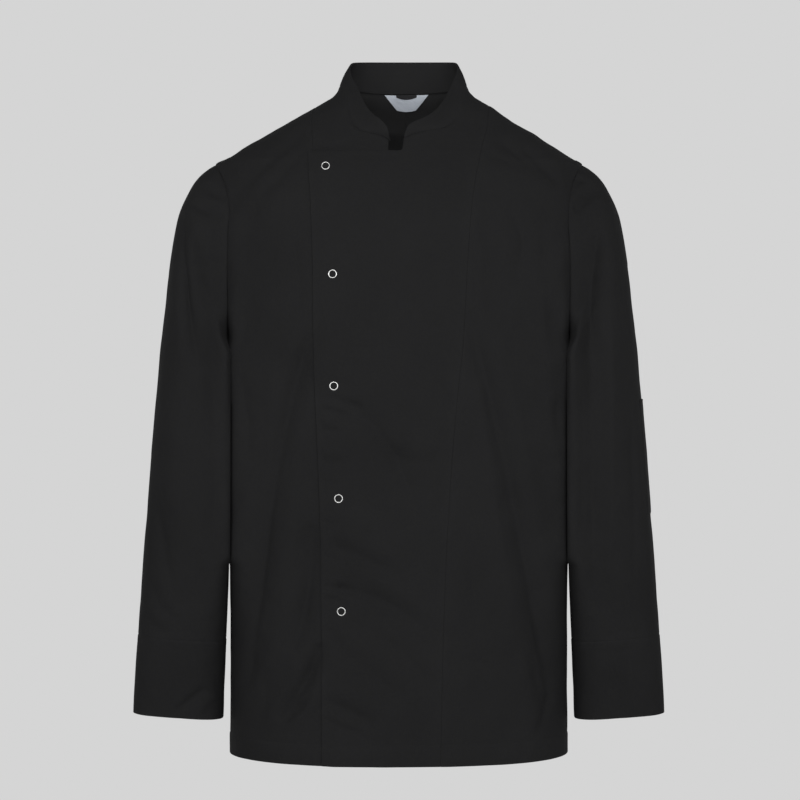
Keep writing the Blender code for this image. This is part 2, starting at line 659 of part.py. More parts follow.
def sleeve_pocket():
    """The pen pocket, on the outer side of the left sleeve, made from the sleeve's points."""
    station = np.linspace(*POCKET_STATIONS, 9)
    turn = np.radians(np.linspace(*POCKET_TURNS, 9))
    station, turn = np.meshgrid(station, turn, indexing="ij")
    outer = sleeve_face(station, turn, 1, SEAM + POCKET_WALL)
    inner = sleeve_face(station, turn, 1, SEAM)
    return wall("sleeve_pocket", outer, inner, twill)


# ---- Trim ----------------------------------------------------------------------------------
def neck_label():
    """A blank trapezoid with a slightly bowed lower edge, inside the back of the neck."""
    down, across = np.meshgrid(share_rows(4), np.linspace(-1, 1, 7), indexing="ij")
    half = LABEL_HALF_TOP + (LABEL_HALF_BOTTOM - LABEL_HALF_TOP) * down
    x = LABEL_MIDDLE + half * across
    z = LABEL_TOP - LABEL_DROP * down * (1 + 0.09 * (1 - across**2))
    turn = turn_at_x(x, z, 1)
    near = body_face(turn, z, -CLOTH - LABEL_GAP)
    far = body_face(turn, z, -CLOTH - LABEL_GAP - LABEL_WALL)
    return wall("label", near, far, label_cloth)


def hanging_loop():
    """A narrow tape that hangs across the top of the label."""
    up, across = np.meshgrid(share_rows(1), np.linspace(-1, 1, 13), indexing="ij")
    x = LABEL_MIDDLE + LOOP_HALF * across
    z = LABEL_TOP - LOOP_WIDTH * (1 - up) - LOOP_SAG * (1 - across**2)
    depth = CLOTH + LABEL_GAP + LABEL_WALL + SEAM
    turn = turn_at_x(x, z, 1)
    near = body_face(turn, z, -depth)
    far = body_face(turn, z, -depth - LABEL_WALL)
    return wall("hanging_loop", near, far, tape)


def set_on_front(made, x, z, out):
    """Turn a piece's own +Z to the cloth's outward direction, and move it on to the cloth."""
    turn = turn_at_x(np.array(x), np.array(z), -1)
    place = body_face(turn, np.array(z), out)
    ahead = body_face(turn, np.array(z), out + 1.0) - place
    up = np.array([0.0, 0.0, 1.0])
    right = unit(np.cross(up, ahead))
    top = np.cross(ahead, right)
    turned = np.stack([right, top, ahead], axis=-1)
    for vertex in made.data.vertices:
        vertex.co = (turned @ np.array(vertex.co) + place) * MM


def press_stud(number, x, z):
    """An open metal ring on the upper front, and the closed socket between the fronts."""
    name = f"stud_{number}"
    band = STUD_BAND / 2
    bpy.ops.mesh.primitive_torus_add(major_segments=20, minor_segments=6,
                                     major_radius=STUD_OUTER - band, minor_radius=band)
    ring = bpy.context.object
    for vertex in ring.data.vertices:
        vertex.co.z *= STUD_RISE / STUD_BAND
    set_on_front(ring, x, z, LAYER + SEAM + STUD_RISE / 2)
    room = LAYER - CLOTH
    bpy.ops.mesh.primitive_cylinder_add(vertices=20, radius=STUD_POST, depth=room - 2 * STUD_PLAY)
    post = bpy.context.object
    set_on_front(post, x, z, room / 2 + front_lift(x, z, -1))
    for made, suffix in ((ring, "ring"), (post, "socket")):
        made.name = f"{name}_{suffix}"
        made.data.name = made.name
        made.data.materials.append(metal)
        made.data.shade_smooth()
        made.data.set_sharp_from_angle(angle=math.radians(50))
        for group in made.users_collection:
            group.objects.unlink(made)
        parts.objects.link(made)


# ---- The jacket ----------------------------------------------------------------------------
for old in list(bpy.data.objects):
    bpy.data.objects.remove(old)

parts = bpy.data.collections.new("chef_jacket")
bpy.context.scene.collection.children.link(parts)

twill = material("black_twill", (0.017, 0.017, 0.018), 0.85)
label_cloth = material("label_cloth", (0.75, 0.78, 0.82), 0.7)
tape = material("black_tape", (0.012, 0.012, 0.013), 0.8)
metal = material("stud_metal", (0.78, 0.78, 0.76), 0.25, 1.0)

back_panel("back_left", 1)
back_panel("back_right", -1)
side_front("side_front_left", 1)
side_front("side_front_right", -1)
centre_front("upper_front_left", 1)
centre_front("lower_front_right", -1)
collar_stand()

cap_stations = np.array([0.0, 0.6, 1.3, 2.1])
sleeve_stations = np.concatenate([cap_stations, np.arange(3.0, CUFF_SEAM + 1)])
cuff_stations = np.linspace(CUFF_SEAM, WRIST, 4)
for side, word in ((1, "left"), (-1, "right")):
    sleeve_tube(f"sleeve_{word}", side, sleeve_stations, CLOTH)
    sleeve_tube(f"cuff_{word}", side, cuff_stations, CUFF_WALL)
sleeve_pocket()

neck_label()
hanging_loop()
for number, stud in enumerate(STUDS, start=1):
    press_stud(number, stud["across"], stud["height"])
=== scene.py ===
# %% [markdown]
# # A chef jacket, dressed on its CAD model
#
# The object is a double-breasted chef jacket in black polycotton twill, filled out as when it
# is worn, with no one in it. A packed CAD model already gives its size, its panels and its
# hollow. This lesson lays finer cloth over those panels: creases, seams, stitches, weave and
# metal rings. The CAD meshes stay as they are, and each new piece hides the CAD part that it
# stands for.

# %% Load the packed model
import math

import bpy
import numpy as np
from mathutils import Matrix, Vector


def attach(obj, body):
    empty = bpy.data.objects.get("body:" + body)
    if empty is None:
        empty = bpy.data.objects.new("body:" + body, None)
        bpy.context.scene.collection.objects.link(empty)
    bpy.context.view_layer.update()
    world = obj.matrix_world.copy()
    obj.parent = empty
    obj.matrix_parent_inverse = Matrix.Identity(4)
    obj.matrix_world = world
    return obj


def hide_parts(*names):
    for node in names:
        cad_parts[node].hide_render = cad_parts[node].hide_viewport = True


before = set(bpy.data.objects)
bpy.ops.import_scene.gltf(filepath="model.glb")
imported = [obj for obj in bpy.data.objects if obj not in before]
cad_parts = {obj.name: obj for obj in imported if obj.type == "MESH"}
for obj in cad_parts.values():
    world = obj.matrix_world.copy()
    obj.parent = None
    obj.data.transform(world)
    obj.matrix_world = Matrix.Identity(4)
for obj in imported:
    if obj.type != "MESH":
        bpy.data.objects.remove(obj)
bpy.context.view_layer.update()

# %% [markdown]
# ## The camera
#
# The jacket is seen straight from the front. A long lens well away from it keeps the sleeves
# and the chest in proportion, as in a studio, where a short lens would swell the chest. The
# camera comes first because every later choice is judged through it.

# %% Camera
MM = 0.001                # the tables below are in millimetres, Blender's scene in metres
CAMERA_AWAY = 2600.0
CAMERA_ACROSS = 1.4
CAMERA_HEIGHT = -357.4
FRAME_WIDTH = 936.0       # what the picture takes in at the middle of the jacket
SENSOR = 36.0

lens = bpy.data.cameras.new("studio_camera")
lens.sensor_width = SENSOR
lens.lens = SENSOR * CAMERA_AWAY / FRAME_WIDTH
lens.clip_end = 20.0
camera = bpy.data.objects.new("studio_camera", lens)
bpy.context.scene.collection.objects.link(camera)
camera.location = Vector((CAMERA_ACROSS, -CAMERA_AWAY, CAMERA_HEIGHT)) * MM
camera.rotation_euler = (math.pi / 2, 0, 0)
bpy.context.scene.camera = camera
print("lens of", round(lens.lens, 1), "mm")

# %% [markdown]
# ## The forms under the cloth
#
# A worn jacket is three simple forms: a stack of level ovals for the body, a row of ovals that
# fans out from the armhole for a sleeve, and a band round the neck. Each is a short table of
# sections with a smooth curve through every column. Nearly the same tables shaped the CAD
# panels, so the new cloth lies on them with no fitting.

# %% Tables of sections
def table(columns, rows):
    """A short table whose columns are read by name."""
    kinds = [(name, "U12" if isinstance(rows[0][i], str) else float)
             for i, name in enumerate(columns)]
    return np.array(rows, dtype=kinds)


# Level sections of the body. `squareness` is the exponent of the oval: 2 is an ellipse.
BODY = table(
    ("height", "half_width", "front", "back", "squareness", "shift"),
    [
        (-766.0, 196.6, 119.0, 122.0, 2.60, 0.0),
        (-700.0, 196.1, 118.0, 120.0, 2.70, 0.0),
        (-620.0, 195.6, 117.0, 117.0, 3.00, 0.0),
        (-500.0, 195.4, 117.5, 113.0, 3.80, 0.0),
        (-400.0, 195.7, 119.5, 112.0, 4.40, 0.0),
        (-330.0, 196.8, 122.0, 114.0, 4.30, 0.0),
        (-290.0, 199.4, 122.5, 116.0, 3.80, 0.0),
        (-250.0, 205.0, 121.5, 118.0, 3.20, 0.0),
        (-190.0, 212.0, 117.0, 117.5, 2.70, 0.0),
        (-130.0, 216.5, 105.0, 112.0, 2.34, 0.0),
        (-100.0, 217.5, 95.5, 106.5, 2.12, 0.0),
        (-83.0, 213.4, 88.5, 103.0, 1.98, 0.1),
        (-76.0, 201.6, 85.4, 100.8, 2.00, 0.4),
        (-69.5, 192.0, 82.0, 98.5, 2.02, 0.6),
        (-51.0, 160.9, 72.0, 92.0, 2.10, 1.9),
        (-39.0, 140.9, 64.5, 87.0, 2.12, 2.7),
        (-25.0, 118.7, 57.5, 81.0, 2.10, 4.4),
        (-11.0, 95.2, 50.0, 74.0, 2.10, 5.0),
        (-4.0, 83.6, 45.5, 69.5, 2.10, 5.3),
        (3.0, 77.2, 41.5, 65.0, 2.10, 5.4),
        (9.5, 74.6, 39.0, 62.0, 2.10, 5.4),
        (16.0, 71.4, 37.0, 59.0, 2.10, 5.4),
    ],
)

# Sections of the left sleeve from the armhole to the wrist, by the inner and outer ends that
# show from the front; `middle` is where the section's centre lies from front to back.
SLEEVE = table(
    ("inner_x", "inner_z", "outer_x", "outer_z", "middle", "half_depth",
     "outer_squareness", "inner_squareness", "lean"),
    [
        (198.4, -305.0, 215.0, -83.0, 5.0, 70.0, 2.20, 3.00, 0.00),
        (198.9, -305.6, 224.2, -89.6, 4.0, 72.0, 2.20, 3.40, 0.02),
        (199.2, -306.5, 237.2, -103.0, 2.5, 75.0, 2.20, 4.00, 0.04),
        (199.4, -308.5, 248.2, -121.8, 0.0, 77.5, 2.22, 4.60, 0.06),
        (199.5, -311.5, 256.9, -146.0, -3.0, 79.5, 2.24, 5.00, 0.08),
        (199.5, -315.5, 262.0, -174.5, -7.0, 80.5, 2.26, 5.00, 0.10),
        (199.5, -321.0, 266.6, -212.0, -11.0, 81.5, 2.30, 5.00, 0.11),
        (199.4, -329.0, 270.8, -258.0, -16.0, 81.0, 2.34, 5.00, 0.12),
        (199.1, -343.0, 275.4, -303.0, -20.0, 80.0, 2.38, 5.00, 0.12),
        (198.7, -368.0, 278.9, -345.0, -23.0, 78.5, 2.40, 5.00, 0.12),
        (198.1, -404.0, 283.0, -392.0, -25.0, 75.5, 2.40, 5.00, 0.12),
        (197.6, -455.0, 287.3, -446.0, -26.0, 70.5, 2.40, 5.00, 0.12),
        (197.4, -505.0, 291.3, -497.5, -26.0, 65.0, 2.40, 4.60, 0.11),
        (196.6, -545.0, 294.8, -538.5, -26.0, 60.5, 2.42, 4.00, 0.09),
        (197.9, -590.0, 298.2, -583.5, -25.5, 54.5, 2.45, 3.40, 0.06),
        (200.1, -634.0, 301.5, -627.0, -25.0, 49.0, 2.50, 3.00, 0.03),
        (201.8, -671.0, 304.1, -664.0, -24.5, 44.0, 2.55, 2.80, 0.00),
        (203.0, -701.0, 306.0, -694.0, -24.0, 39.5, 2.60, 2.70, 0.00),
        (203.8, -724.8, 307.2, -717.8, -24.0, 36.0, 2.60, 2.70, 0.00),
    ],
)
CUFF_SEAM = 15            # station of the seam between sleeve and cuff
WRIST = 18                # station of the cuff's end

# Across the front: the upper front's seam and free edge, and the lower front's seam.
FRONT = table(
    ("height", "seam", "edge", "lower_seam"),
    [
        (-766.0, 46.8, -86.0, -75.0),
        (-640.0, 49.5, -86.0, -76.0),
        (-540.0, 53.0, -87.0, -77.5),
        (-435.0, 59.0, -90.0, -80.5),
        (-362.0, 65.0, -93.0, -83.5),
        (-290.0, 72.5, -95.5, -86.0),
        (-217.0, 76.5, -96.0, -87.5),
        (-137.0, 82.5, -99.0, -92.0),
        (-72.5, 94.0, -103.0, -98.0),
        (-34.0, 103.0, -103.0, -100.0),
        (-13.0, 104.4, -103.0, -97.0),
    ],
)
BACK_SEAM = table(("height", "across"), [(-766.0, 0.0), (-300.0, 2.0), (9.5, 9.0)])

HEM = -766.0              # height of the lower edge
UNDERARM = -305.0         # height of the lowest point of the armhole
CHEST = -165.0            # above this height the fronts curve in towards the neck
SHOULDER_TIP = -83.0      # height of the highest point of the armhole
FRONT_TOP = -74.3         # height of the level top edge where the fronts cross
YOKE_LINE = -13.0         # height where the front seams meet the shoulder seams
NECK_BACK = 9.5           # height of the collar seam round the back of the neck
print(len(BODY), "sections of the body,", len(SLEEVE), "of a sleeve")

# %% Curves through a table
def smooth(at, stations, values):
    """A curve through (stations, values) that never overshoots between two of them.

    Each stretch is a cubic whose slope at a station is the harmonic mean of the slopes of its
    two neighbours, or level where those have opposite signs.
    """
    steps = np.diff(stations)
    slopes = np.diff(values) / steps
    before, after = slopes[:-1], slopes[1:]
    same_way = before * after > 0
    mean = 2.0 * before * after / np.where(same_way, before + after, 1.0)
    tangents = np.concatenate([slopes[:1], np.where(same_way, mean, 0.0), slopes[-1:]])
    at = np.clip(np.asarray(at, float), stations[0], stations[-1])
    left = np.clip(np.searchsorted(stations, at, side="right") - 1, 0, len(steps) - 1)
    step = steps[left]
    t = (at - stations[left]) / step
    start = (1 + 2 * t) * (1 - t) ** 2 * values[left] + t * (1 - t) ** 2 * step * tangents[left]
    end = t**2 * (3 - 2 * t) * values[left + 1] - t**2 * (1 - t) * step * tangents[left + 1]
    return start + end


def step_up(value, low, high):
    """0 below low and 1 above high, with a soft start and end: 3 t^2 - 2 t^3."""
    t = np.clip((value - low) / (high - low), 0, 1)
    return t * t * (3 - 2 * t)


def bell(value, width, middle=0.0):
    """A bell curve of height 1: exp(-s^2), with s the distance from `middle` over `width`."""
    return np.exp(-(((value - middle) / width) ** 2))


def within(value, low, high):
    """1 between two limits and 0 outside. Each limit is the pair that its soft edge spans."""
    return step_up(value, *low) * (1 - step_up(value, *high))


print("half width at the chest:", float(smooth(CHEST, BODY["height"], BODY["half_width"])))

# %% The body's form
def body_size(name, height):
    return smooth(height, BODY["height"], BODY[name])


def oval(turn, squareness):
    """Cosine and sine of a turn, both stretched until |x|^n + |y|^n = 1."""
    across, along = np.cos(turn), np.sin(turn)
    reach = (np.abs(across) ** squareness + np.abs(along) ** squareness) ** (-1 / squareness)
    return across * reach, along * reach


def body_point(turn, height):
    """Point of the body: `turn` goes from the left side (0) by the back (pi / 2).

    x is the shift plus the half width times the oval's cosine; y is the front or back depth
    times its sine.
    """
    across, along = oval(turn, body_size("squareness", height))
    depth = np.where(along < 0, body_size("front", height), body_size("back", height))
    x = body_size("shift", height) + body_size("half_width", height) * across
    return np.stack([x, depth * along, height + 0 * x], axis=-1)


def turn_at_x(x, height, face):
    """The turn of the body's point at x, on the front (-1) or the back (+1)."""
    squareness = body_size("squareness", height)
    across = (x - body_size("shift", height)) / body_size("half_width", height)
    across = np.clip(across, -1.0, 1.0)
    along = (1 - np.abs(across) ** squareness) ** (1 / squareness)
    return face * np.arctan2(along, across)


def turn_at_y(y, height):
    """The turn of the body's point at y, on the left side."""
    squareness = body_size("squareness", height)
    depth = np.where(y < 0, body_size("front", height), body_size("back", height))
    across = (1 - np.abs(y / depth) ** squareness) ** (1 / squareness)
    return np.arctan2(y / depth, across)


print("front of the chest:", body_point(np.array(-math.pi / 2), np.array(CHEST)).round(1))

# %% The sleeve's form
ARMHOLE_REACH = 3.0       # stations over which the sleeve leaves the body's surface


def sleeve_size(name, station):
    return smooth(station, np.arange(len(SLEEVE), dtype=float), SLEEVE[name])


def sleeve_oval(station, turn):
    """Point of the left sleeve's section: `turn` goes from the underarm by the front.

    The oval's cosine runs along the line from the outer end to the inner end, and its sine
    runs towards the front.
    """
    half = np.where(np.cos(turn) > 0, sleeve_size("inner_squareness", station),
                    sleeve_size("outer_squareness", station))
    away, ahead = oval(turn, half)
    share = (1 - away) / 2
    inner_x, outer_x = sleeve_size("inner_x", station), sleeve_size("outer_x", station)
    inner_z, outer_z = sleeve_size("inner_z", station), sleeve_size("outer_z", station)
    y = sleeve_size("middle", station) - sleeve_size("half_depth", station) * ahead
    lean = sleeve_size("lean", station) * (1 - share) * (y - sleeve_size("middle", station))
    x = inner_x + (outer_x - inner_x) * share + lean
    z = inner_z + (outer_z - inner_z) * share
    return np.stack([x, y, z], axis=-1)


def armhole_point(turn):
    """Point of the left armhole: the sleeve's first section, pushed across on to the body."""
    flat = sleeve_oval(np.zeros_like(turn), turn)
    y, height = flat[..., 1], flat[..., 2]
    return body_point(turn_at_y(y, height), height)


def sleeve_point(station, turn):
    """The sleeve's section, drawn on to the armhole by (1 - station / 3) squared."""
    flat = sleeve_oval(station, turn)
    near = np.clip(1 - station / ARMHOLE_REACH, 0, 1) ** 2
    shift = armhole_point(turn) - sleeve_oval(np.zeros_like(turn), turn)
    return flat + near[..., None] * shift


def unit(vectors):
    return vectors / np.linalg.norm(vectors, axis=-1, keepdims=True)


def facing(surface, first, second, first_step, second_step):
    """Outward direction: the cross product of small steps along the two parameters."""
    along_first = surface(first + first_step, second) - surface(first - first_step, second)
    along_second = surface(first, second + second_step) - surface(first, second - second_step)
    return unit(np.cross(along_first, along_second))


print("tip of the shoulder:", armhole_point(np.array(math.pi)).round(1))

# %% [markdown]
# ## Creases
#
# Twill is stiff enough to hold long, soft folds that start where it is pulled: at the studs,
# the armholes and the elbows. A cloth simulation would put them where it liked, so each is
# listed instead, as a line through three points on the face that it dents. A fold is a
# trough with a lip on each side, one lip higher than the other, and its depth wavers along it.
# Small creases use the same rule. A few broad, shallow waves keep the rest from looking ironed.

# %% Folds and creases
FOLD_COLUMNS = ("cloth", "face", "top_a", "top_z", "mid_a", "mid_z", "low_a", "low_z",
                "width", "depth")
FOLDS = table(
    FOLD_COLUMNS,
    [
        ("body", "front", -98.0, -283.0, -138.0, -440.0, -171.0, -690.0, 12.0, 6.2),
        ("body", "front", -97.0, -497.0, -103.0, -580.0, -120.0, -640.0, 9.5, 5.0),
        ("body", "front", -88.0, -630.0, -104.0, -672.0, -132.0, -716.0, 8.5, 6.5),
        ("body", "front", 76.0, -258.0, 122.0, -440.0, 180.0, -728.0, 12.5, 6.0),
        ("body", "front", -64.0, -364.0, -14.0, -404.0, 24.0, -500.0, 13.0, 3.0),
        ("body", "front", -72.0, -566.0, -20.0, -582.0, 28.0, -612.0, 11.0, 3.4),
        ("body", "front", -170.0, -150.0, -175.0, -260.0, -168.0, -370.0, 13.0, 0.6),
        ("body", "back", -120.0, -300.0, -146.0, -480.0, -158.0, -700.0, 14.0, 5.8),
        ("body", "back", 118.0, -330.0, 140.0, -500.0, 164.0, -720.0, 14.0, 5.8),
        ("body", "back", -30.0, -420.0, -46.0, -560.0, -52.0, -740.0, 15.0, 5.2),
        ("body", "back", 52.0, -470.0, 62.0, -600.0, 84.0, -745.0, 13.0, 5.2),
        ("body", "back", -158.0, -150.0, -160.0, -230.0, -142.0, -330.0, 11.0, 3.2),
        ("body", "back", 160.0, -160.0, 162.0, -250.0, 142.0, -345.0, 11.0, 3.2),
        ("right", "front", 252.0, -138.0, 243.0, -212.0, 225.0, -320.0, 8.0, 5.5),
        ("right", "front", 283.0, -405.0, 272.0, -500.0, 250.0, -595.0, 14.0, 3.5),
        ("right", "back", 262.0, -200.0, 236.0, -330.0, 220.0, -430.0, 12.0, 4.0),
        ("right", "back", 240.0, -440.0, 268.0, -500.0, 280.0, -590.0, 12.0, 3.5),
        ("right", "outer", 37.0, -150.0, 13.0, -300.0, -13.0, -470.0, 12.0, 3.5),
        ("left", "front", 217.0, -260.0, 218.0, -400.0, 222.0, -600.0, 10.0, 3.2),
        ("left", "front", 262.0, -240.0, 266.0, -420.0, 268.0, -610.0, 10.0, 2.2),
        ("left", "back", 258.0, -190.0, 240.0, -340.0, 226.0, -450.0, 12.0, 4.0),
        ("left", "back", 246.0, -450.0, 264.0, -520.0, 284.0, -600.0, 12.0, 3.5),
    ],
)
# Short creases, tucks and drag lines. A negative depth is a ridge.
CREASES = table(
    FOLD_COLUMNS,
    [
        ("body", "front", -96.0, -688.0, -112.0, -703.0, -130.0, -718.0, 4.0, 2.2),
        ("body", "front", -84.0, -355.0, -62.0, -359.0, -40.0, -369.0, 4.5, 1.5),
        ("body", "front", -87.0, -367.0, -70.0, -371.0, -50.0, -380.0, 4.0, 1.4),
        ("body", "front", -86.0, -376.0, -72.0, -384.0, -60.0, -392.0, 5.0, -0.9),
        ("body", "front", -57.0, -260.0, -31.0, -277.0, -4.0, -297.0, 9.0, 0.8),
        ("body", "front", -62.0, -298.0, -40.0, -299.0, -18.0, -298.0, 4.0, 0.4),
        ("body", "front", 42.0, -335.0, 52.0, -352.0, 58.0, -378.0, 5.0, 0.8),
        ("body", "front", -30.0, -404.0, 0.0, -422.0, 42.0, -428.0, 9.0, 1.2),
        ("body", "front", -88.0, -391.0, -76.0, -392.0, -62.0, -390.0, 4.5, 0.9),
        ("body", "front", -88.0, -424.0, -74.0, -426.0, -60.0, -425.0, 4.5, 1.0),
        ("body", "front", -87.0, -446.0, -76.0, -450.0, -66.0, -452.0, 4.0, 0.7),
        ("body", "front", -86.0, -492.0, -76.0, -496.0, -64.0, -494.0, 4.0, 0.7),
        ("body", "front", -80.0, -520.0, -46.0, -531.0, -4.0, -553.0, 9.0, 1.8),
        ("body", "front", -84.0, -531.0, -72.0, -536.0, -58.0, -540.0, 4.5, 1.0),
        ("body", "front", -84.0, -566.0, -66.0, -568.0, -48.0, -574.0, 4.5, 1.5),
        ("body", "front", -84.0, -578.0, -70.0, -582.0, -54.0, -588.0, 4.5, 1.2),
        ("body", "front", -84.0, -612.0, -72.0, -622.0, -60.0, -640.0, 6.0, 1.0),
        ("body", "front", -60.0, -640.0, -30.0, -662.0, 8.0, -700.0, 9.0, 1.1),
        ("body", "front", -20.0, -622.0, 14.0, -650.0, 40.0, -690.0, 9.0, 1.0),
        ("body", "front", -83.0, -694.0, -57.0, -705.0, -28.0, -720.0, 8.0, 2.4),
        ("body", "front", -84.0, -712.0, -60.0, -724.0, -36.0, -731.0, 5.0, 1.2),
        ("body", "front", -122.0, -178.0, -111.0, -228.0, -128.0, -266.0, 12.0, 1.6),
        ("body", "front", -176.0, -112.0, -144.0, -83.0, -108.0, -52.0, 10.0, 1.7),
        ("body", "front", -160.0, -128.0, -134.0, -104.0, -112.0, -74.0, 7.0, 0.9),
        ("body", "front", 142.0, -66.0, 163.0, -88.0, 185.0, -114.0, 9.0, 2.0),
        ("body", "front", 112.0, -62.0, 134.0, -76.0, 160.0, -104.0, 7.0, 1.1),
        ("body", "front", 96.0, -80.0, 120.0, -84.0, 142.0, -96.0, 5.0, 0.8),
        ("body", "front", -94.0, -60.0, -78.0, -70.0, -60.0, -69.0, 5.0, 0.8),
        ("body", "front", 82.0, -152.0, 92.0, -200.0, 88.0, -262.0, 8.0, -0.9),
        ("body", "front", 122.0, -140.0, 138.0, -172.0, 132.0, -222.0, 9.0, 1.1),
        ("body", "front", 160.0, -210.0, 166.0, -330.0, 178.0, -470.0, 13.0, -1.2),
        ("body", "front", -112.0, -300.0, -98.0, -330.0, -92.0, -362.0, 9.0, 0.9),
        ("body", "front", 90.0, -330.0, 108.0, -470.0, 130.0, -640.0, 11.0, -1.3),
        ("body", "front", 76.0, -470.0, 84.0, -570.0, 92.0, -720.0, 12.0, 1.4),
        ("body", "front", 148.0, -640.0, 160.0, -690.0, 172.0, -735.0, 8.0, 1.3),
        ("body", "front", 172.0, -690.0, 166.0, -712.0, 156.0, -738.0, 5.0, 1.5),
        ("body", "front", -150.0, -360.0, -160.0, -470.0, -182.0, -620.0, 11.0, 1.3),
        ("body", "front", -112.0, -430.0, -118.0, -520.0, -140.0, -640.0, 9.0, -1.3),
        ("body", "front", -146.0, -660.0, -152.0, -700.0, -162.0, -740.0, 8.0, 1.0),
        ("body", "front", -184.0, -310.0, -172.0, -360.0, -168.0, -430.0, 8.0, 1.0),
        ("body", "front", 184.0, -312.0, 176.0, -370.0, 178.0, -430.0, 8.0, 0.9),
        ("body", "front", -60.0, -742.0, -20.0, -738.0, 30.0, -741.0, 7.0, 0.5),
        ("body", "back", -90.0, -70.0, -122.0, -100.0, -165.0, -150.0, 10.0, 1.6),
        ("body", "back", 96.0, -66.0, 130.0, -104.0, 168.0, -148.0, 10.0, 1.7),
        ("body", "back", -60.0, -28.0, -10.0, -36.0, 50.0, -30.0, 9.0, 0.9),
        ("body", "back", -120.0, -210.0, -60.0, -238.0, 8.0, -232.0, 13.0, 1.5),
        ("body", "back", 22.0, -250.0, 84.0, -268.0, 140.0, -246.0, 12.0, 1.4),
        ("body", "back", -150.0, -372.0, -92.0, -392.0, -30.0, -380.0, 11.0, 1.6),
        ("body", "back", 20.0, -402.0, 78.0, -420.0, 150.0, -396.0, 11.0, 1.6),
        ("body", "back", -100.0, -420.0, -70.0, -520.0, -84.0, -650.0, 12.0, -1.4),
        ("body", "back", 92.0, -440.0, 104.0, -560.0, 118.0, -700.0, 11.0, -1.3),
        ("body", "back", 8.0, -480.0, 14.0, -600.0, 20.0, -735.0, 11.0, 1.2),
        ("body", "back", -184.0, -312.0, -172.0, -380.0, -178.0, -470.0, 9.0, 1.2),
        ("body", "back", 184.0, -315.0, 174.0, -385.0, 180.0, -480.0, 9.0, 1.2),
        ("right", "front", 240.0, -130.0, 221.0, -139.0, 200.0, -150.0, 5.5, 2.2),
        ("right", "front", 236.0, -150.0, 220.0, -160.0, 203.0, -168.0, 6.0, -1.0),
        ("right", "front", 248.0, -152.0, 234.0, -168.0, 216.0, -190.0, 8.0, 1.2),
        ("right", "front", 226.0, -110.0, 212.0, -119.0, 199.0, -128.0, 5.0, 1.5),
        ("right", "front", 232.0, -196.0, 216.0, -199.0, 198.0, -204.0, 5.0, 0.9),
        ("right", "front", 214.0, -300.0, 210.0, -400.0, 212.0, -520.0, 8.0, -1.2),
        ("right", "front", 286.0, -560.0, 270.0, -590.0, 246.0, -612.0, 9.0, 1.3),
        ("right", "front", 292.0, -600.0, 276.0, -616.0, 256.0, -622.0, 6.0, 0.8),
        ("right", "front", 253.0, -714.0, 238.0, -700.0, 221.0, -687.0, 4.5, 2.0),
        ("right", "front", 232.0, -720.0, 222.0, -706.0, 210.0, -696.0, 5.0, -1.0),
        ("right", "back", 216.0, -380.0, 240.0, -392.0, 268.0, -384.0, 6.0, 1.6),
        ("right", "back", 214.0, -408.0, 244.0, -420.0, 276.0, -408.0, 6.0, 1.3),
        ("right", "outer", -30.0, -210.0, -20.0, -320.0, -34.0, -430.0, 10.0, 1.6),
        ("right", "outer", 20.0, -480.0, 4.0, -560.0, -14.0, -615.0, 9.0, 1.6),
        ("left", "front", 201.0, -142.0, 212.0, -128.0, 228.0, -110.0, 5.5, 2.2),
        ("left", "front", 203.0, -107.0, 209.0, -104.0, 216.0, -104.0, 4.0, 1.6),
        ("left", "front", 204.0, -160.0, 216.0, -140.0, 234.0, -122.0, 6.0, -1.0),
        ("left", "front", 230.0, -160.0, 218.0, -220.0, 214.0, -320.0, 7.0, 2.2),
        ("left", "front", 249.0, -168.0, 254.0, -222.0, 264.0, -290.0, 5.5, 1.8),
        ("left", "front", 236.0, -210.0, 240.0, -360.0, 239.0, -560.0, 9.0, -1.6),
        ("left", "front", 280.0, -330.0, 284.0, -460.0, 288.0, -600.0, 9.0, -1.0),
        ("left", "front", 206.0, -320.0, 210.0, -420.0, 208.0, -540.0, 7.0, 0.9),
        ("left", "front", 244.0, -640.0, 246.0, -675.0, 250.0, -715.0, 8.0, 1.0),
        ("left", "front", 262.0, -640.0, 266.0, -680.0, 270.0, -716.0, 8.0, -0.9),
        ("left", "back", 214.0, -372.0, 242.0, -386.0, 272.0, -376.0, 6.0, 1.6),
        ("left", "back", 216.0, -400.0, 246.0, -416.0, 278.0, -402.0, 6.0, 1.3),
        ("left", "outer", 34.0, -160.0, 26.0, -280.0, 36.0, -400.0, 11.0, 2.0),
        ("left", "outer", -34.0, -200.0, -26.0, -290.0, -38.0, -345.0, 10.0, 1.4),
        ("left", "outer", 14.0, -470.0, 2.0, -550.0, 10.0, -620.0, 9.0, 1.6),
    ],
)
print(len(FOLDS), "folds and", len(CREASES), "small creases")

# %% How far the creases move the cloth
FOLD_STEPS = 9
SMALL_DEEPER = 1.35       # the small creases lie this much deeper than their table says
LIP = 0.22                # height of a fold's lips, as a share of its depth
LIP_AWAY = 1.9            # how far the lips stand from the middle, in widths of the fold
LIP_WIDTH = 0.8
CORE = 0.45               # depth of the sharp line in a fold's middle, also as a share
CORE_SHARPER = 2.6        # how many times narrower than the fold that line is


def fold_path(fold):
    """Points down the middle of a fold: a parabola through its three points."""
    t = np.linspace(0, 1, FOLD_STEPS)[:, None]
    top = np.array([fold["top_a"], fold["top_z"]])
    low = np.array([fold["low_a"], fold["low_z"]])
    bend = 2 * np.array([fold["mid_a"], fold["mid_z"]]) - (top + low) / 2
    return top * (1 - t) ** 2 + 2 * bend * t * (1 - t) + low * t**2


